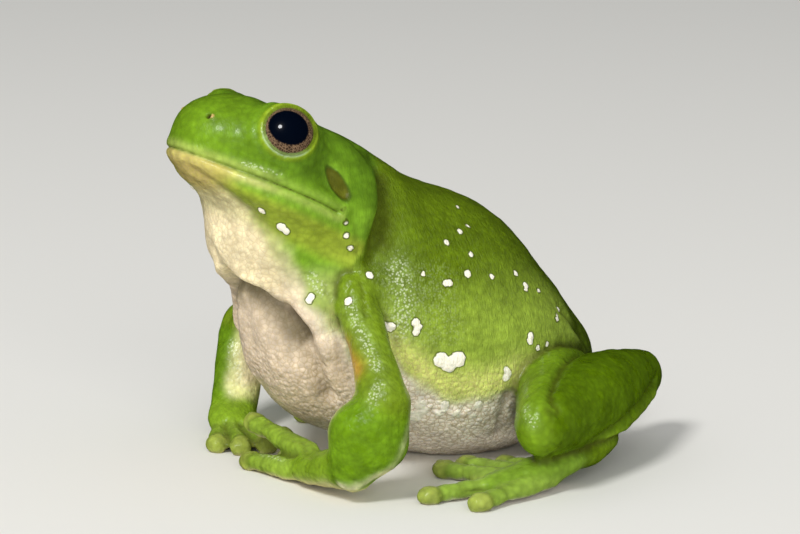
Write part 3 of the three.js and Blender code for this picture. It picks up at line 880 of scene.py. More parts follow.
@dataclass
class Skin:
    """The frog's one skin, from the snout to the toe discs, over every CAD node of flesh, in mm.

    Rays run from inside the head through the surface. They and the eardrum's two directions are in the
    head's axes, for the left side. Where no edge is near, its distance is written as far.
    """

    sockets: tuple[EyeSocket, ...]
    voxel: float = 0.92
    swell: float = 0.2
    lid_lip: float = 0.2
    arm_socket_height: float = 29.0
    heel_back: float = 33.0
    knee_front: Point = (45.8, -0.2, 11.0)
    mouth_back: float = -0.8
    drum_half_height: float = 3.3
    drum_half_width: float = 1.25
    drum_ray: tuple[Point, Point] = ((0.0, 0.8, 4.9), (16.0, 0.8, 4.9))
    drum_tall: Point = (-1.1, 4.7, 3.3)
    drum_wide: Point = (-0.47, -3.4, 4.7)
    nostril_radius: float = 0.5
    nostril_ray: tuple[Point, Point] = ((0.0, 14.0, 2.0), (5.2, 23.2, 6.7))
    bead_radius: float = 0.45
    bead_ray: tuple[Point, Point] = ((0.0, 13.4, 2.0), (5.5, 22.6, 6.7))
    speck_radius: float = 0.28
    crease_reach: float = 1.2
    most_grain: float = 2.2
    far: float = 20.0
    seed: int = 7
    palette: Palette = field(default_factory=Palette)
    finish: FrogSkin = field(default_factory=FrogSkin)

    joined = (
        {Region.HEAD, Region.TRUNK}, {Region.JAW, Region.TRUNK}, {Region.TRUNK, Region.UPPER_ARM},
        {Region.UPPER_ARM, Region.FOREARM}, {Region.FOREARM, Region.HAND}, {Region.HAND, Region.FINGER},
        {Region.TARSUS, Region.FOOT}, {Region.FOOT, Region.TOE}, {Region.FOOT, Region.WEB},
        {Region.TOE, Region.WEB},
    )

    def __post_init__(self) -> None:
        """Reads the CAD nodes in mm and keeps a tree to ask which is nearest."""
        self.nodes = sorted(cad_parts)
        points, faces, self.owner_of_face = [], [], []
        self.tips: dict[str, np.ndarray] = {}
        for number, name in enumerate(self.nodes):
            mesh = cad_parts[name].data
            start = len(points)
            own = [v.co / MM for v in mesh.vertices]
            points += own
            faces += [[start + i for i in p.vertices] for p in mesh.polygons]
            self.owner_of_face += [number] * len(mesh.polygons)
            if self.region(name) in (Region.FINGER, Region.TOE):
                self.tips[name] = self._tip(name, np.array(own))
        self.tree = BVHTree.FromPolygons(points, faces)

    @staticmethod
    def region(name: str) -> Region:
        """The region that a CAD node belongs to."""
        return next(each for each in Region if name.startswith(each.value))

    @staticmethod
    def _tip(name: str, own: np.ndarray) -> np.ndarray:
        """Finds a digit's tip.

        Args:
            name: The digit's node.
            own: Its points in mm.

        Returns:
            The middle of the digit's points that are furthest from the limb.
        """
        limb = "hand_" if name.startswith(Region.FINGER.value) else "foot_"
        low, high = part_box(limb + name.split("_")[1])
        away = np.linalg.norm(own - np.array((low + high) / 2 / MM), axis=1)
        return own[away > away.max() - 2.4].mean(0)

    def _shell(self) -> bpy.types.Mesh:
        """Joins the flesh as overlapping closed surfaces.

        Returns:
            A mesh in mm with every node swollen enough to close the gaps between them.
        """
        whole = bmesh.new()
        for name in self.nodes:
            bm = bmesh.new()
            bm.from_mesh(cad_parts[name].data)
            bmesh.ops.remove_doubles(bm, verts=bm.verts, dist=1e-6)
            bmesh.ops.scale(bm, vec=Vector((1, 1, 1)) / MM, verts=bm.verts)
            bm.normal_update()
            moves = [v.normal * self.swell * min(v.calc_shell_factor(), 2.0) for v in bm.verts]
            for vertex, move in zip(bm.verts, moves):
                vertex.co += move
            part = bpy.data.meshes.new("part")
            bm.to_mesh(part)
            bm.free()
            whole.from_mesh(part)
            bpy.data.meshes.remove(part)
        mesh = bpy.data.meshes.new("flesh")
        whole.to_mesh(mesh)
        whole.free()
        return mesh

    def _remesh(self, mesh: bpy.types.Mesh) -> bpy.types.Mesh:
        """Wraps the joined flesh in one surface.

        Args:
            mesh: The joined flesh in mm.

        Returns:
            The outer surface alone, as even quads in mm.
        """
        holder = bpy.data.objects.new("flesh", mesh)
        bpy.context.scene.collection.objects.link(holder)
        wrap = holder.modifiers.new("wrap", "REMESH")
        wrap.mode = "VOXEL"
        wrap.voxel_size = self.voxel
        wrapped = bpy.data.meshes.new_from_object(
            holder.evaluated_get(bpy.context.evaluated_depsgraph_get())
        )
        bpy.data.objects.remove(holder)
        bpy.data.meshes.remove(mesh)
        bm = bmesh.new()
        bm.from_mesh(wrapped)
        unseen, islands = set(bm.verts), []
        while unseen:
            island, front = set(), [unseen.pop()]
            while front:
                vertex = front.pop()
                island.add(vertex)
                for edge in vertex.link_edges:
                    other = edge.other_vert(vertex)
                    if other in unseen:
                        unseen.remove(other)
                        front.append(other)
            islands.append(island)
        islands.sort(key=len)
        for inner in islands[:-1]:
            bmesh.ops.delete(bm, geom=list(inner), context="VERTS")
        for each in bm.faces:
            each.smooth = True
        bm.to_mesh(wrapped)
        bm.free()
        dropped = len(islands) - 1
        LOG.info("wrapped flesh: %d vertices, %d inner shells dropped", len(wrapped.vertices), dropped)
        return wrapped

    def _label(self, surface: Surface) -> None:
        """Finds each vertex's nearest CAD node and the region that it belongs to."""
        found = [self.tree.find_nearest(co)[2] for co in surface.co]
        self.owner = np.array(self.owner_of_face)[found]
        regions = [self.region(name) for name in self.nodes]
        numbers = np.array([list(Region).index(each) for each in regions])
        self.regions = numbers[self.owner]

    def _is(self, *regions: Region) -> np.ndarray:
        """1 for each vertex in one of the regions, and 0 elsewhere."""
        return np.isin(self.regions, [list(Region).index(each) for each in regions]).astype(float)

    def _round_junctions(self, surface: Surface) -> None:
        """Fills the notches where one part of the body runs on into the next."""
        border = self._borders(surface, joined=True)
        weight = np.clip(surface.spread(border, 5) * 2.2, 0.0, 1.0)
        surface.relax(weight, 8, keep=0.0)
        seam = surface.spread(self._borders(surface, joined=False), 3)
        surface.relax(np.clip(seam * 2.0, 0.0, 1.0), 4, keep=0.0)
        brow = np.zeros(len(surface.co))
        for socket in self.sockets:
            ring, height = socket.rings(surface.co)
            brow += smoothstep(ring, 5.2, 6.2) * smoothstep(ring, 10.5, 8.0) * smoothstep(height, -4.0, -1.0)
        surface.relax(np.clip(brow, 0.0, 1.0), 16, keep=0.0)

    def _borders(self, surface: Surface, joined: bool) -> np.ndarray:
        """Marks where one node's skin meets another's.

        Args:
            surface: The skin.
            joined: True for where the body runs on, False for where two parts only touch.

        Returns:
            1 for each vertex on such a border, and 0 elsewhere.
        """
        order = list(Region)
        calm = {Region.HEAD, Region.JAW, Region.EYE, Region.EARDRUM}
        border = np.zeros(len(surface.co))
        for edge in np.flatnonzero(self.owner[surface.a] != self.owner[surface.b]):
            pair = {order[self.regions[surface.a[edge]]], order[self.regions[surface.b[edge]]]}
            runs_on = pair in self.joined or pair == {Region.WEB}
            _, y, z = surface.co[surface.a[edge]]
            if pair == {Region.TRUNK, Region.UPPER_ARM}:
                runs_on = z > self.arm_socket_height
            elif pair == {Region.SHANK, Region.TARSUS}:
                runs_on = y > self.heel_back
            if bool(runs_on) is joined and not pair <= calm:
                border[[surface.a[edge], surface.b[edge]]] = 1.0
        return border

    def _landmarks(self, surface: Surface) -> None:
        """Places what is found on the surface: nostrils, eardrums and warts."""
        self.nostrils = [self._meet(surface, self.nostril_ray, side) for side in Side]
        self.beads = [self._meet(surface, self.bead_ray, side) for side in Side]
        self.drums = [
            (self._meet(surface, self.drum_ray, side),
             HEAD.direct(side.on(self.drum_tall)), HEAD.direct(side.on(self.drum_wide)))
            for side in Side
        ]
        chance = np.random.default_rng(self.seed)
        outer = BVHTree.FromPolygons(
            [Vector(co) for co in surface.co], [tuple(p.vertices) for p in surface.mesh.polygons]
        )
        self.spots: list[tuple[np.ndarray, float]] = []
        for side in Side:
            for wart in WARTS:
                place = np.array(wart.place) * (side.value, 1.0, 1.0)
                if side is Side.RIGHT:
                    place = place + chance.normal(0.0, 0.9, 3)
                centre, normal, _, _ = outer.find_nearest(Vector(place))
                rearward = Vector((0.0, 1.0, 0.0)) - normal * normal.y
                run = Matrix.Rotation(math.radians(wart.lean * side.value), 3, normal) @ rearward.normalized()
                over = normal.cross(run)
                for lobe in range(wart.lobes):
                    step = (lobe - (wart.lobes - 1) / 2) * wart.radius * 1.25
                    sway = wart.radius * 0.35 * (-1) ** lobe if wart.lobes > 1 else 0.0
                    size = wart.radius * chance.uniform(0.85, 1.15)
                    self.spots.append((np.array(centre + run * step + over * sway), size))
        self.specks = [np.array(outer.find_nearest(Vector(place))[0]) for place in SPECKS]

    @staticmethod
    def _meet(surface: Surface, ray: tuple[Point, Point], side: Side) -> np.ndarray:
        """Where a ray in the head's axes leaves the skin.

        Args:
            surface: The skin.
            ray: A point on the head's midline and one that the ray passes on the left.
            side: The side that the ray goes to.

        Returns:
            The place on the ray beside the vertex nearest to it, in frame mm.
        """
        origin = HEAD.place(ray[0])
        way = HEAD.place(side.on(ray[1])) - origin
        way /= np.linalg.norm(way)
        away = surface.co - origin
        ahead = away @ way
        off = np.linalg.norm(away - ahead[:, None] * way, axis=1)
        off[(ahead < 0) | (surface.normal @ way < 0)] = np.inf
        return origin + way * ahead[np.argmin(off)]

    def _mouth(self, surface: Surface) -> np.ndarray:
        """Distance above (or below 0) from the mouth's line in mm, and infinite away from it."""
        x, u, w = HEAD.read(surface.co).T
        rise = w - np.interp(u, *MOUTH_LINE)
        behind = np.clip(self.mouth_back - u, 0.0, None)
        reach = np.sign(rise) * np.hypot(rise, behind)
        return np.where((u > -6.0) & (np.abs(x) < 22.0) & (surface.co[:, 2] > 40.0), reach, np.inf)

    def _drum_edge(self, surface: Surface, drum: tuple[np.ndarray, np.ndarray, np.ndarray]) -> np.ndarray:
        """Distance outwards from an eardrum's rim in mm."""
        centre, tall, wide = drum
        away = surface.co - centre
        along = away @ tall / self.drum_half_height
        shape = np.hypot(along, away @ wide / (self.drum_half_width * np.clip(1.0 - 0.25 * along, 0.6, 1.3)))
        deep = np.abs(away @ np.cross(tall, wide))
        return (shape - 1.0) * self.drum_half_width + np.where(deep > 3.0, self.far, 0.0)

    def _wart_edge(self, surface: Surface) -> np.ndarray:
        """Distance outwards from the nearest wart's edge in mm."""
        found = np.full(len(surface.co), self.far)
        for centre, radius in self.spots:
            found = np.minimum(found, surface.away(centre) - radius)
        near = np.flatnonzero(found < 1.5)
        found[near] += [0.22 * noise.noise(Vector(co) * 1.7) for co in surface.co[near]]
        return found

    def _refine(self, surface: Surface) -> None:
        """Splits the mesh where the detail is finer: the face, creases, warts and digits."""
        head = self._is(Region.HEAD, Region.JAW, Region.EYE, Region.EARDRUM) > 0
        face = head & (HEAD.read(surface.co)[:, 1] > -4.0)
        lined = np.zeros(len(surface.co), bool)
        for stroke in STROKES:
            for line in stroke.lines():
                lined |= surface.reach(line, self.crease_reach) < self.crease_reach
        digits = self._is(Region.FINGER, Region.TOE) > 0
        touching = self._borders(surface, joined=False) > 0
        wanted = face | lined | digits | touching | (self._wart_edge(surface) < 0.7)
        near = surface.spread(wanted.astype(float), 2) > 0.02
        surface.refine(near)
        surface.relax(1.0, 2)
        fine = np.abs(self._mouth(surface)) < 1.1
        for socket in self.sockets:
            ring, height = socket.rings(surface.co)
            fine |= (np.abs(ring - socket.opening) < 0.9) & (height > 0.5)
        for place in self.nostrils:
            fine |= surface.away(place) < 1.5
        for drum in self.drums:
            fine |= np.abs(self._drum_edge(surface, drum)) < 0.6
        surface.refine(fine)
        surface.relax(1.0, 1)
        LOG.info("refined skin: %d vertices", len(surface.co))

    def _darken(self, share: np.ndarray) -> None:
        """Paints shade into the creases, to a share where they are paler."""
        self.shade = np.maximum(self.shade, share)

    def _sculpt(self, surface: Surface) -> None:
        """Gives the skin its folds, creases, lips, lids, eardrums, nostrils and warts, and gathers the painted
        shade of its creases.
        """
        self.shade = np.zeros(len(surface.co))
        surface.push(self._folds(surface), 3)
        surface.measure()
        surface.push(self._features(surface))
        surface.measure()
        self._open_lids(surface)
        self._ripple(surface)
        surface.co[:, 2] = np.maximum(surface.co[:, 2], 0.0)
        surface.measure()

    def _folds(self, surface: Surface) -> np.ndarray:
        """Ridges and creases of the body, where parts of it touch, and at the digits' joints, with painted
        shade in the creases.

        Args:
            surface: The skin.

        Returns:
            The push along the normal in mm.
        """
        amount = np.zeros(len(surface.co))
        for stroke in STROKES:
            for line in stroke.lines():
                away = surface.reach(line, 3.0 * stroke.width)
                amount += stroke.depth * bell(away, stroke.width)
                # Painted shade along the stroke
                self._darken(stroke.dark * bell(away, 0.55 * stroke.width))
        touch = self._touching(surface)
        leftward = np.column_stack([np.abs(surface.co[:, 0]), surface.co[:, 1:]])
        taut = 0.12 + 0.88 * smoothstep(np.linalg.norm(leftward - self.knee_front, axis=1), 2.5, 8.0)
        amount -= taut * (0.75 * bell(touch, 0.6) - 0.12 * bell(touch - 1.5, 0.7))
        # Painted shade where two parts of the body lie against each other
        self._darken(0.65 * taut * bell(touch, 0.42))
        amount += self._digit_joints(surface)
        return amount

    def _features(self, surface: Surface) -> np.ndarray:
        """The mouth between its lips, the eardrums, the nostrils and the warts, with painted shade along the
        mouth's groove and inside the nostrils.

        Args:
            surface: The skin.

        Returns:
            The push along the normal in mm.
        """
        mouth = self._mouth(surface)
        amount = -0.42 * bell(mouth, 0.26)
        amount += 0.2 * bell(mouth - 1.0, 0.7) + 0.34 * bell(mouth + 1.0, 0.8)
        # Painted shade along the mouth's groove, fainter at the front and broken up by noise
        patchy = smoothstep(surface.waves(1.1), -0.1, 0.3)
        faint = 0.5 + 0.5 * smoothstep(HEAD.read(surface.co)[:, 1], 19.0, 9.0)
        self._darken(faint * (bell(mouth, 0.13) * (0.55 + 0.4 * patchy)))
        for drum in self.drums:
            edge = self._drum_edge(surface, drum)
            amount += 0.1 * bell(edge - 0.3, 0.3) - 0.3 * smoothstep(edge, 0.15, -0.5)
        for hole, bead in zip(self.nostrils, self.beads):
            away, beside = surface.away(hole), surface.away(bead)
            amount += 0.3 * smoothstep(beside, self.bead_radius + 0.35, 0.0)
            amount -= 0.8 * smoothstep(away, self.nostril_radius + 0.15, 0.15)
            # Painted shade inside each nostril's hole, up to its bead
            inside = smoothstep(away, self.nostril_radius + 0.1, self.nostril_radius - 0.2)
            inside *= smoothstep(beside, self.bead_radius - 0.05, self.bead_radius + 0.1)
            self._darken(inside)
        amount += 0.26 * smoothstep(self._wart_edge(surface), 0.12, -0.3)
        return amount

    def _touching(self, surface: Surface) -> np.ndarray:
        """Distance in mm from where two parts of the body lie against each other, and large away from it."""
        border = self._borders(surface, joined=False)
        points = np.flatnonzero(border)
        tree = KDTree(len(points))
        for number in points:
            tree.insert(surface.co[number], int(number))
        tree.balance()
        near = np.flatnonzero(surface.spread(border, 8) > 0.0)
        found = np.full(len(surface.co), self.far)
        found[near] = [tree.find(co)[2] for co in surface.co[near]]
        return surface.spread(found, 2)

    def _digit_joints(self, surface: Surface) -> np.ndarray:
        """Swells each digit's disc and joints and creases the skin between them, with painted shade in those
        creases.

        Args:
            surface: The skin.

        Returns:
            The push along the normal in mm.
        """
        amount = np.zeros(len(surface.co))
        for number, name in enumerate(self.nodes):
            if name in self.tips:
                own = surface.spread((self.owner == number).astype(float), 3)
                away = surface.away(self.tips[name])
                folds = bell(away - 3.1, 0.38) + 0.55 * bell(away - 6.4, 0.4)
                swells = bell(away, 2.2) + 0.5 * bell(away - 4.6, 0.9)
                amount += own * (0.14 * swells - 0.2 * folds)
                # Painted shade in the joints' creases
                self.shade = np.maximum(self.shade, 0.3 * own * folds)
        return amount

    def _open_lids(self, surface: Surface) -> None:
        """Raises a ring of lid round each eye and sinks the skin inside it under the eyeball."""
        for socket in self.sockets:
            ring, height = socket.rings(surface.co)
            front = smoothstep(height, 0.0, 1.0)
            rim = socket.opening + 0.3
            share = smoothstep(ring, rim + 1.5, rim - 0.1) * front
            self._hug(surface, socket, share, socket.radius + self.lid_lip)
            ring, height = socket.rings(surface.co)
            amount = 0.14 * bell(ring - rim, 0.24) - 0.2 * bell(ring - rim - 0.85, 0.4)
            surface.push(amount * front)
            surface.measure()
            ring, height = socket.rings(surface.co)
            inside = (ring < socket.opening) & (height > 0.4)
            wall = inside & (ring > socket.opening - 0.42)
            grow = (socket.opening - 0.12 * (socket.opening - ring[wall])) / ring[wall]
            along = socket.centre + height[wall][:, None] * socket.axis
            surface.co[wall] = along + (surface.co[wall] - along) * grow[:, None]
            self._hug(surface, socket, (inside & ~wall).astype(float), socket.radius - 1.2)
            surface.measure()

    @staticmethod
    def _hug(surface: Surface, socket: EyeSocket, share: np.ndarray, radius: float) -> None:
        """Draws skin down to a sphere round the eye's centre.

        Args:
            surface: The skin.
            socket: The eye's place.
            share: How far each vertex goes, 0 to 1.
            radius: The sphere's radius in mm.
        """
        away = surface.co - socket.centre
        depth = np.maximum(np.linalg.norm(away, axis=1), 1e-6)
        lower = np.minimum(depth, radius)
        surface.co -= away * (share * (1.0 - lower / depth))[:, None]

    def _ripple(self, surface: Surface) -> None:
        """Adds the shallow wrinkles and swellings of loose skin."""
        chest = self._pale_share(surface)
        wide = surface.waves(0.22)
        narrow = surface.waves(1.0, (0.5, 0.9, 0.28))
        calm = 1.0 - np.clip(surface.spread(self._is(Region.EYE, Region.EARDRUM), 6) * 3.0, 0.0, 1.0)
        calm *= 1.0 - 0.7 * surface.spread(self._is(Region.HEAD), 6)
        surface.push(calm * (0.14 * wide + (0.08 + 0.14 * chest) * narrow))

    def _pale_share(self, surface: Surface) -> np.ndarray:
        """How much of the pale underside's pigment each vertex has."""
        x, y, z = surface.co.T
        jitter = surface.waves(0.35)
        flank_line = np.interp(y, *FLANK_LINE)
        trunk = smoothstep(z + 1.3 * jitter, flank_line + 1.4, flank_line - 1.4)
        throat_line = np.interp(z, *THROAT_LINE)
        throat = smoothstep(np.abs(x) + 0.9 * jitter, throat_line + 2.4, throat_line - 1.6)
        mouth = self._mouth(surface)
        front = smoothstep(y, -14.0, -19.0) * np.where(np.isinf(mouth), 1.0, smoothstep(mouth, -0.2, -0.8))
        down = smoothstep(surface.spread(surface.normal[:, 2], 4) + 0.12 * jitter, -0.7, -0.95)
        body = self._is(Region.TRUNK)
        face = self._is(Region.HEAD, Region.JAW)
        ends = self._is(
            Region.UPPER_ARM, Region.FOREARM, Region.HAND, Region.FINGER, Region.FOOT, Region.TOE, Region.WEB
        )
        even = surface.spread(surface.normal, 4)
        inner = 0.17 * even[:, 1] - 0.98 * np.sign(x) * even[:, 0]
        inward = smoothstep(inner + 0.15 * jitter, 0.35, 0.75) * smoothstep(z, 6.0, 10.0)
        share = body * np.maximum(trunk * (y > -20), throat * front) + face * throat * front + ends * down
        share = np.maximum(share, self._is(Region.UPPER_ARM, Region.FOREARM) * inward)
        return np.clip(surface.spread(share, 3), 0.0, 1.0)

    def _areas(self, surface: Surface) -> Areas:
        """Finds the soft areas of the skin."""
        x, y, z = surface.co.T
        trunk = surface.spread(self._is(Region.TRUNK), 4)
        arms = self._is(Region.UPPER_ARM, Region.FOREARM, Region.HAND, Region.FINGER)
        legs = self._is(Region.THIGH, Region.SHANK, Region.TARSUS, Region.FOOT, Region.TOE)
        return Areas(
            head=surface.spread(self._is(Region.HEAD, Region.JAW), 4),
            trunk=trunk,
            arms=surface.spread(arms, 4),
            legs=surface.spread(legs, 4),
            pale=self._pale_share(surface),
            band=bell(z - np.interp(y, *FLANK_LINE) - 2.8, 3.2) * trunk * smoothstep(np.abs(x), 12.0, 17.0),
        )

    def _body_layers(self, surface: Surface, areas: Areas) -> Layers:
        """Large-scale colours over those of the regions: snout, back, flanks, underside and lips, with painted
        shade on the rump.

        Args:
            surface: The skin.
            areas: The skin's soft areas.

        Returns:
            Shares of the vertices with their colours, the lowest layer first.
        """
        paint, head, trunk, arms, pale = self.palette, areas.head, areas.trunk, areas.arms, areas.pale
        x, y, z = surface.co.T
        _, u, w = HEAD.read(surface.co).T
        wide, mouth = np.abs(x), self._mouth(surface)
        edge = pale * (1.0 - pale) * 4.0
        collar = np.clip(surface.spread(edge, 10), 0.0, 1.0) * smoothstep(y, -17.0, -22.0)
        shoulder = smoothstep(wide, 19.0, 15.5) * smoothstep(y, -16.0, -20.0) * (1.0 - arms)
        shoulder *= smoothstep(z, 25.0, 29.0) * smoothstep(z, 40.0, 35.0) * 0.7
        fore = smoothstep(u, 9.0, 15.0)
        jaw = head * smoothstep(w, -1.5, -3.5) * smoothstep(w, -9.0, -6.0)
        return [
            (head * smoothstep(u, 12.0, 21.0), paint.snout),
            # Painted shade: the back made darker towards the rear
            (0.85 * trunk * smoothstep(y, 5.0, 24.0) * (1.0 - pale), paint.rump_shade),
            (head * smoothstep(w, 5.0, 1.0) * smoothstep(wide, 6.0, 11.0), paint.cheek),
            (trunk * smoothstep(z, 40.0, 24.0) * smoothstep(wide, 15.0, 20.0) * 0.8, paint.flank),
            (areas.band * (y > -16.0) * (0.9 - 0.7 * smoothstep(y, 10.0, 20.0)), paint.band),
            (collar * smoothstep(z, 22.0, 30.0), paint.collar),
            (shoulder, paint.shoulder),
            (pale, paint.belly),
            (pale * smoothstep(y, -16.0, -21.0), paint.chest),
            (pale * smoothstep(y, -20.0, -26.0) * smoothstep(z, 30.0, 37.0), paint.throat),
            (pale * arms, paint.throat),
            (0.7 * arms * np.clip(surface.spread(edge, 4), 0.0, 1.0), paint.band),
            (pale * smoothstep(u, 13.0, 20.0) * 0.7, paint.chin),
            (jaw * (1.0 - 0.7 * pale), paint.collar),
            (0.7 * collar * smoothstep(z, 34.0, 44.0), paint.collar),
            (bell(mouth + 0.95, 0.75) * (0.25 + 0.6 * fore), paint.lip),
            (bell(mouth - 0.8, 0.8) * (0.1 + 0.2 * fore), paint.lip),
            (smoothstep(mouth, 0.2, -0.4) * head * smoothstep(u, 15.0, 19.5) * 0.75, paint.chin),
        ]

    def _detail_layers(self, surface: Surface) -> Layers:
        """Colours of painted lines, toe pads, the painted highlight of the wet streaks, lids, eardrums and
        nostrils, with painted shade in the lids' openings, round the eardrums and in the nostrils.

        Args:
            surface: The skin.

        Returns:
            Shares of the vertices with their colours, the lowest layer first.
        """
        paint = self.palette
        layers: Layers = [
            (0.85 * bell(surface.reach(line, 3.0 * stroke.width), stroke.width), getattr(paint, stroke.paint))
            for stroke in STROKES if stroke.paint for line in stroke.lines()
        ]
        for number, name in enumerate(self.nodes):
            if name in self.tips:
                own = surface.spread(self.owner == number, 2)
                layers.append((0.45 * own * smoothstep(surface.away(self.tips[name]), 3.3, 2.4), paint.pad))
        # Painted highlight along the wettest streaks
        layers.append((0.12 * self._wet_highlight(surface), paint.painted_highlight))
        for socket in self.sockets:
            ring, height = socket.rings(surface.co)
            front = smoothstep(height, 0.0, 1.0)
            low = smoothstep((surface.co - socket.centre) @ HEAD.direct((0.0, 0.0, 1.0)), 0.0, -2.5)
            edge = socket.opening + 0.1
            layers += [
                (front * smoothstep(ring, edge + 0.9, edge + 0.2) * 0.7, paint.lid),
                # The lower lid's pale edge: the membrane's own colour with a painted wet highlight
                (front * low * bell(ring - edge, 0.14) * 0.5, paint.lid_edge_and_sheen),
                # Painted shade in the opening between the lids and the eyeball
                (front * smoothstep(ring, edge - 0.05, edge - 0.3), paint.nostril),
            ]
        for drum in self.drums:
            edge = self._drum_edge(surface, drum)
            layers += [
                (smoothstep(edge, 0.08, -0.14), paint.drumskin),
                # Painted shade round the eardrum's sunken rim
                (0.55 * bell(edge - 0.05, 0.16), paint.nostril),
            ]
        hole, bead = self.nostril_radius, self.bead_radius
        for nostril, beside in zip(self.nostrils, self.beads):
            layers += [
                # Painted shade in the nostril's hole
                (smoothstep(surface.away(nostril), hole + 0.1, hole - 0.2), paint.nostril),
                (smoothstep(surface.away(beside), bead + 0.1, bead - 0.1), paint.bead),
            ]
        return layers

    def _film(self, surface: Surface, areas: Areas) -> tuple[np.ndarray, np.ndarray]:
        """The wet film over the skin and the granules that shine in it, where the strongest granules also get
        painted glint dots.

        Args:
            surface: The skin.
            areas: The skin's soft areas.

        Returns:
            How wet each vertex is, 0 to 1, and how strong its granules are.
        """
        _, y, z = surface.co.T
        mouth = self._mouth(surface)
        wet_highlight = self._wet_highlight(surface)
        damp = smoothstep(np.abs(y + 9.0), 13.0, 5.0) * smoothstep(np.abs(z - 31.0), 12.0, 5.0) * areas.trunk
        lipped = bell(mouth, 2.4)
        glossy = bell(mouth - 2.4, 1.1) * bell(HEAD.read(surface.co)[:, 1] - 13.5, 4.0)
        wet = 0.35 + 0.8 * smoothstep(surface.waves(0.5), 0.0, 0.6)
        lively = np.maximum.reduce([damp, 0.8 * areas.arms, 0.6 * areas.legs, 0.5 * lipped, glossy])
        grain = 0.8 + 0.5 * damp + 0.1 * areas.arms - 0.35 * areas.legs
        grain = grain - 0.5 * areas.head - 0.2 * areas.head * lipped + 0.5 * glossy
        grain = np.maximum(grain, self.most_grain * wet_highlight)
        grain = grain * (1.0 - surface.spread(self._is(Region.EARDRUM), 2))
        wetness = np.clip(wet * (0.2 + 0.8 * lively) + 0.5 * glossy + wet_highlight, 0.0, 1.0)
        return wetness, np.clip(grain, 0.0, self.most_grain)

    def _mark(self, surface: Surface) -> None:
        """Writes the skin's colours and masks as attributes."""
        tone = np.zeros((len(surface.co), 3))
        total = np.zeros(len(surface.co))
        for region in Region:
            share = surface.spread(self._is(region), 8)
            tone += share[:, None] * np.array(linear(getattr(self.palette, region.value))[:3])
            total += share
        tone /= total[:, None]
        areas = self._areas(surface)
        specks = np.min([surface.away(place) for place in self.specks], axis=0)
        for share, colour in self._body_layers(surface, areas) + self._detail_layers(surface):
            tone += share[:, None] * (np.array(linear(colour)[:3]) - tone)
        body = surface.spread(self._is(Region.TRUNK, Region.HEAD, Region.JAW, Region.THIGH), 4)
        below = np.clip(0.5 + smoothstep(surface.co[:, 2], 30.0, 12.0) * 0.5, 0.0, 1.0)
        wetness, grain = self._film(surface, areas)
        green = 1.0 - areas.pale
        for name, values in (
            ("skin_tone", np.column_stack([tone, np.ones(len(tone))])),
            ("cobbles", np.clip(areas.pale * body * below + 0.6 * areas.band * green, 0.0, 1.0)),
            ("wart_edge", self._wart_edge(surface)),
            ("speck_edge", specks - self.speck_radius),
            ("crease_shade", self.shade),
            ("wetness", wetness),
            ("grain", grain),
            ("wrinkling", np.clip(areas.trunk * green + 0.35 - 0.32 * areas.legs, 0.0, 1.0)),
        ):
            write(surface.mesh, name, values)

    def _wet_highlight(self, surface: Surface) -> np.ndarray:
        """How wet the skin is along its wettest streaks, 0 to 1, which also sets their painted highlight.

        Args:
            surface: The skin.

        Returns:
            Shares of each vertex.
        """
        wet_highlight = np.zeros(len(surface.co))
        for line, reach in WET_HIGHLIGHT:
            wet_highlight = np.maximum(wet_highlight, bell(surface.reach(np.array(line), 2.5 * reach), reach))
        return wet_highlight

    def build(self, material: bpy.types.Material) -> bpy.types.Object:
        """Makes the skin in place.

        Args:
            material: The skin's material.

        Returns:
            The skin.
        """
        surface = Surface(self._remesh(self._shell()))
        surface.relax(1.0, 4)
        self._label(surface)
        self._round_junctions(surface)
        self._landmarks(surface)
        self._refine(surface)
        self._label(surface)
        self._sculpt(surface)
        self._mark(surface)
        flesh = [name for name in self.nodes if self.region(name) is not Region.EYE]
        return finish_piece(surface.mesh, "frog_skin", material, flesh)


@dataclass(frozen=True)
class Lamp:
    """A soft round lamp: angles from the camera's and above the floor in degrees, mm across and watts."""

    name: str
    azimuth: float
    elevation: float
    width: float
    power: float
    glints: bool = True


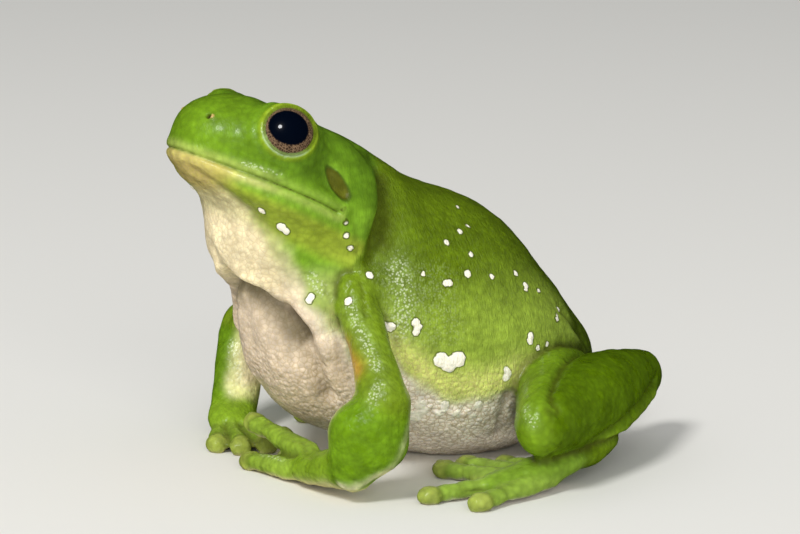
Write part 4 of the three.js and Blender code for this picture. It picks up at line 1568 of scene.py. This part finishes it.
@dataclass
class Studio:
    """Pale floor, soft lights and the camera, in mm where nothing else is said.

    Only the key lamp glints in the wet eyes; the fill, the air and the floor leave no reflection in them.
    """

    target: Point = (-3.01, 4.14, 32.66)
    azimuth: float = 55.0
    elevation: float = 11.0
    distance: float = 600.0
    lens: float = 148.5
    nearest: float = 10.0
    floor_width: float = 6000.0
    lamp_distance: float = 1800.0
    lamps: tuple[Lamp, ...] = (
        Lamp("key", -29.0, 45.0, 440.0, 21.0),
        Lamp("fill", 8.0, 12.0, 1500.0, 20.0, glints=False),
    )
    air: str = "#f1f3f5"
    air_strength: float = 0.55
    paper: StudioPaper = field(default_factory=StudioPaper)

    def _put(self, holder: bpy.types.Object, azimuth: float, elevation: float, distance: float) -> None:
        """Puts a lamp or the camera round the frog, facing it.

        Args:
            holder: The object that is put.
            azimuth: Its angle round the frog in degrees, from -Y towards +X.
            elevation: Its angle above the floor in degrees.
            distance: Its distance from the frog in mm.
        """
        a, e = math.radians(azimuth), math.radians(elevation)
        back = Vector((math.sin(a) * math.cos(e), -math.cos(a) * math.cos(e), math.sin(e)))
        holder.location = (Vector(self.target) + back * distance) * MM
        holder.rotation_euler = back.to_track_quat("Z", "Y").to_euler()
        bpy.context.scene.collection.objects.link(holder)

    def _hang(self, lamp: Lamp) -> None:
        """Makes one lamp and hangs it."""
        light = bpy.data.lights.new(lamp.name, "AREA")
        light.shape = "DISK"
        light.size = lamp.width * MM
        light.energy = lamp.power
        holder = bpy.data.objects.new(lamp.name, light)
        holder.visible_glossy = lamp.glints
        self._put(holder, self.azimuth + lamp.azimuth, lamp.elevation, self.lamp_distance)

    def build(self) -> None:
        """Makes the floor, the lights, the world and the camera."""
        bm = bmesh.new()
        bmesh.ops.create_grid(bm, x_segments=1, y_segments=1, size=self.floor_width * MM / 2)
        mesh = bpy.data.meshes.new("studio_floor")
        bm.to_mesh(mesh)
        bm.free()
        mesh.materials.append(self.paper.make())
        floor = bpy.data.objects.new("studio_floor", mesh)
        bpy.context.scene.collection.objects.link(floor)
        floor.visible_glossy = False
        for lamp in self.lamps:
            self._hang(lamp)
        world = bpy.data.worlds.new("studio_air")
        world.use_nodes = True
        background = world.node_tree.nodes["Background"]
        background.inputs["Color"].default_value = linear(self.air)
        background.inputs["Strength"].default_value = self.air_strength
        # Set after the scene has the world, or Cycles prints an error
        bpy.context.scene.world = world
        world.cycles_visibility.glossy = False
        lens = bpy.data.cameras.new("camera")
        lens.lens = self.lens
        lens.clip_start = self.nearest * MM
        camera = bpy.data.objects.new("camera", lens)
        self._put(camera, self.azimuth, self.elevation, self.distance)
        bpy.context.scene.camera = camera
        bpy.context.scene.view_settings.view_transform = "Standard"
        LOG.info("studio: floor, %d lamps, air and the camera", len(self.lamps))


def main() -> None:
    """Builds the frog and the studio."""
    logging.basicConfig(level=logging.INFO, format="%(name)s: %(message)s")
    sockets = tuple(EyeSocket(side) for side in Side)
    Studio().build()
    skin = Skin(sockets)
    skin.build(skin.finish.make())
    wet = WetEye().make()
    for socket in sockets:
        Eye(socket).build(wet)


if __name__ == "__main__":
    main()
